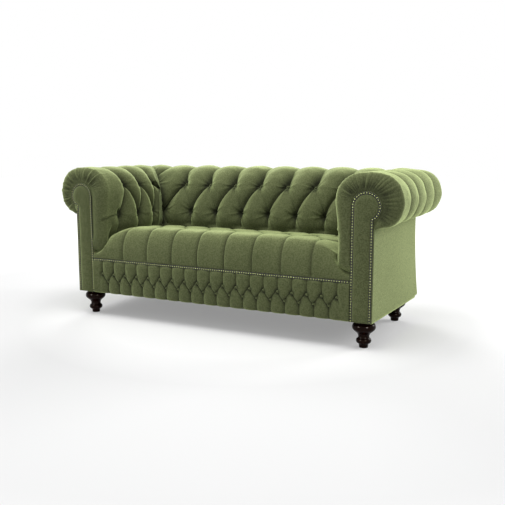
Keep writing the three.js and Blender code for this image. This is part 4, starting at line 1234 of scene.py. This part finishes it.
# The turned profile, carried round the leg's axis, with the bore for its bolt in the top.
def makeLeg(name, across, behind, node):
    profile = curveThrough(leg["shares"], np.linspace(0, len(leg["shares"]) - 1, leg["rows"]))
    top, boreEnd = sofa["legHeight"], sofa["legHeight"] - leg["boreDepth"]
    radius = np.concatenate([[0.01], profile[:, 1] * leg["radius"], [leg["bore"], leg["bore"], 0.01]])[:, None]
    height = np.concatenate([[0], profile[:, 0] * sofa["legHeight"], [top, boreEnd, boreEnd]])[:, None]
    angle = np.linspace(0, 2 * math.pi, leg["sides"], endpoint=False)[None]
    x, y = across + np.cos(angle) * radius, frontY + behind + np.sin(angle) * radius
    piece = loftBody(name, np.stack([x, y, height + 0 * x], -1), None, None, [turnedWood])
    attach(piece, "root")
    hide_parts(node)


for word, side in (("left", -1), ("right", 1)):
    for end, behind in zip(("front", "rear"), sofa["legBehind"]):
        makeLeg(f"leg{end.title()}{word.title()}", side * sofa["legAcross"], behind, f"leg_{end}_{word}")


# Black cloth under the frame: a thin sheet that ripples a little between its tacks. It narrows towards
# the front, as the frame does, and is cut off slantwise at its rear corners.
dust = {"columns": 90, "rows": 44, "cut": 50.0, "frontHalf": 800.0, "height": 125.2, "ripple": 0.35, "thick": 0.8}


def makeDustCloth(name, node):
    low, high = (np.array(end) * 1000 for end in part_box(node))
    xs, ys = np.linspace(low[0], high[0], dust["columns"]), np.linspace(low[1], high[1], dust["rows"])
    x, y = np.meshgrid(xs, ys, indexing="ij")
    cut = np.clip((y - (high[1] - dust["cut"])) / dust["cut"], 0, 1) * dust["cut"]
    half = dust["frontHalf"] + (high[0] - dust["frontHalf"]) * (y - low[1]) / (high[1] - low[1])
    x = x * (high[0] - cut) / high[0] * np.minimum(1, half / high[0])
    inside = np.sin(math.pi * (x + 830) / 1660) * np.sin(math.pi * (y - low[1]) / (high[1] - low[1]))
    z = dust["height"] + dust["ripple"] * rumple(x / 30, y / 30, 81) * np.maximum(0, inside)
    under, over = (np.stack([x, y, z + dust["thick"] / 2 * way], -1) for way in (-1, 1))
    rings = np.concatenate([under, over[:, ::-1]], axis=1)
    piece = loftBody(name, rings, rings.reshape(-1, 3)[:, :2], None, [cambric])
    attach(piece, "root")
    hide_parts(node)


makeDustCloth("dustCloth", "dust_cover")
print("legs and dust cloth made")


# The frame's own nodes that stay, by words in their names: timbers, springs, plates and linings.
finishes = {
    "spring_cover": hessian, "lining": hessian, "leg_plate": plateSteel, "spring_left": springSteel,
    "spring_right": springSteel,
}
for name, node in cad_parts.items():
    if node.hide_render:
        continue
    look = next((material for part, material in finishes.items() if part in name), beech)
    for place in node.material_slots:
        place.material = look


# 1 on rays from the camera, on mirrored rays and on rays through glass, else 0.
def seenRays(w):
    seen = w.node("ShaderNodeLightPath", out=0)
    for out in (3, 6):
        seen = w.maths("MAXIMUM", seen, w.node("ShaderNodeLightPath", out=out))
    return seen


# The floor. "glow" is added to what the camera sees of it, by the distance from the middle as a share of
# "reach": it lifts the shadow under the sofa, adds little round it and rises outwards to the white room.
floorLook = {
    "half": 14.0, "reach": 5.0, "paint": (0.62, 0.62, 0.62, 1), "seenPaint": (0.64, 0.64, 0.64, 1),
    "glow": [
        (0.0, (0.26, 0.26, 0.258, 1)), (0.16, (0.26, 0.26, 0.258, 1)), (0.23, (0.08, 0.08, 0.079, 1)),
        (0.4, (0.10, 0.10, 0.099, 1)), (0.7, (0.5, 0.5, 0.498, 1)), (1.0, (0.7, 0.7, 0.698, 1)),
    ],
}


def makeFloor():
    mesh, r = bpy.data.meshes.new("floor"), floorLook["half"]
    mesh.from_pydata([(-r, -r, 0), (r, -r, 0), (r, r, 0), (-r, r, 0)], [], [(0, 1, 2, 3)])
    piece = bpy.data.objects.new("floor", mesh)
    bpy.context.scene.collection.objects.link(piece)
    material, w = newMaterial("floorPaint")
    seen = seenRays(w)
    grain = w.noise(w.place, 8.0)
    away = w.node("ShaderNodeVectorMath", {"operation": "LENGTH"}, {0: w.place}, out=1)
    share = (away * (1 / floorLook["reach"])).held()
    pale = w.node("ShaderNodeValToRGB", {"stops": floorLook["glow"]}, {0: share})
    mesh.materials.append(finish(material, w, {
        "Base Color": w.colours(seen, floorLook["paint"], floorLook["seenPaint"]),
        "Roughness": (0.9 + 0.05 * grain).held(), "Specular IOR Level": 0.0,
        "Emission Color": w.colours(seen, (0, 0, 0, 1), pale), "Emission Strength": 1.0,
    }))


# Big soft lamps: size, strength, place and the point that each faces. With "gloss" a lamp shows only
# in highlights.
lamps = {
    "keyLamp": {"size": 2.2, "watts": 95.0, "place": (-2.1, 3.2, 2.6), "faces": (0.0, 0.0, 0.4)},
    "topLamp": {"size": 3.0, "watts": 121.0, "place": (0.1, -0.9, 4.0), "faces": (0.0, 0.0, 0.4)},
    "sideLamp": {"size": 1.3, "watts": 58.0, "place": (2.7, 2.1, 1.5), "faces": (0.7, 0.1, 0.5)},
    "glintLeft": {
        "size": 0.7, "watts": 110.0, "place": (-1.6, -3.4, 1.5), "faces": (0.0, -0.4, 0.1), "gloss": True,
    },
    "glintRight": {
        "size": 0.7, "watts": 110.0, "place": (3.4, -2.6, 1.5), "faces": (0.6, -0.4, 0.1), "gloss": True,
    },
}
room = {"white": (1, 1, 1, 1), "light": (0.99, 0.995, 1, 1), "strength": 0.58}


# Turns a lamp or the camera, which look along their own minus Z, towards a point.
def aim(piece, place, faces):
    piece.location = place
    piece.rotation_euler = (Vector(faces) - Vector(place)).to_track_quat("-Z", "Y").to_euler()


def makeLights():
    for name, values in lamps.items():
        light = bpy.data.lights.new(name, "AREA")
        light.shape, light.size, light.energy = "DISK", values["size"], values["watts"]
        piece = bpy.data.objects.new(name, light)
        bpy.context.scene.collection.objects.link(piece)
        aim(piece, values["place"], values["faces"])
        piece.visible_diffuse = "gloss" not in values


# The room looks white and lights the sofa with less.
def makeRoom():
    world = bpy.data.worlds.new("studio")
    bpy.context.scene.world = world
    world.use_nodes = True
    world.node_tree.nodes.clear()
    w = Wire(world.node_tree)
    white = w.node("ShaderNodeBackground", None, {"Color": room["white"], "Strength": 1.0})
    light = w.node("ShaderNodeBackground", None, {"Color": room["light"], "Strength": room["strength"]})
    both = w.node("ShaderNodeMixShader", None, {0: seenRays(w), 1: light, 2: white})
    w.node("ShaderNodeOutputWorld", None, {"Surface": both})


view = {"place": (1.608, -3.171, 0.8755), "faces": (0.2311, -0.408, 0.3999), "lens": 48.159, "sensor": 36.0}


def makeCamera():
    camera = bpy.data.cameras.new("camera")
    camera.lens, camera.sensor_width = view["lens"], view["sensor"]
    piece = bpy.data.objects.new("camera", camera)
    bpy.context.scene.collection.objects.link(piece)
    aim(piece, view["place"], view["faces"])
    bpy.context.scene.camera = piece


makeFloor()
makeLights()
makeRoom()
makeCamera()
bpy.context.scene.view_settings.view_transform = "Standard"
print("floor, lights and camera made")
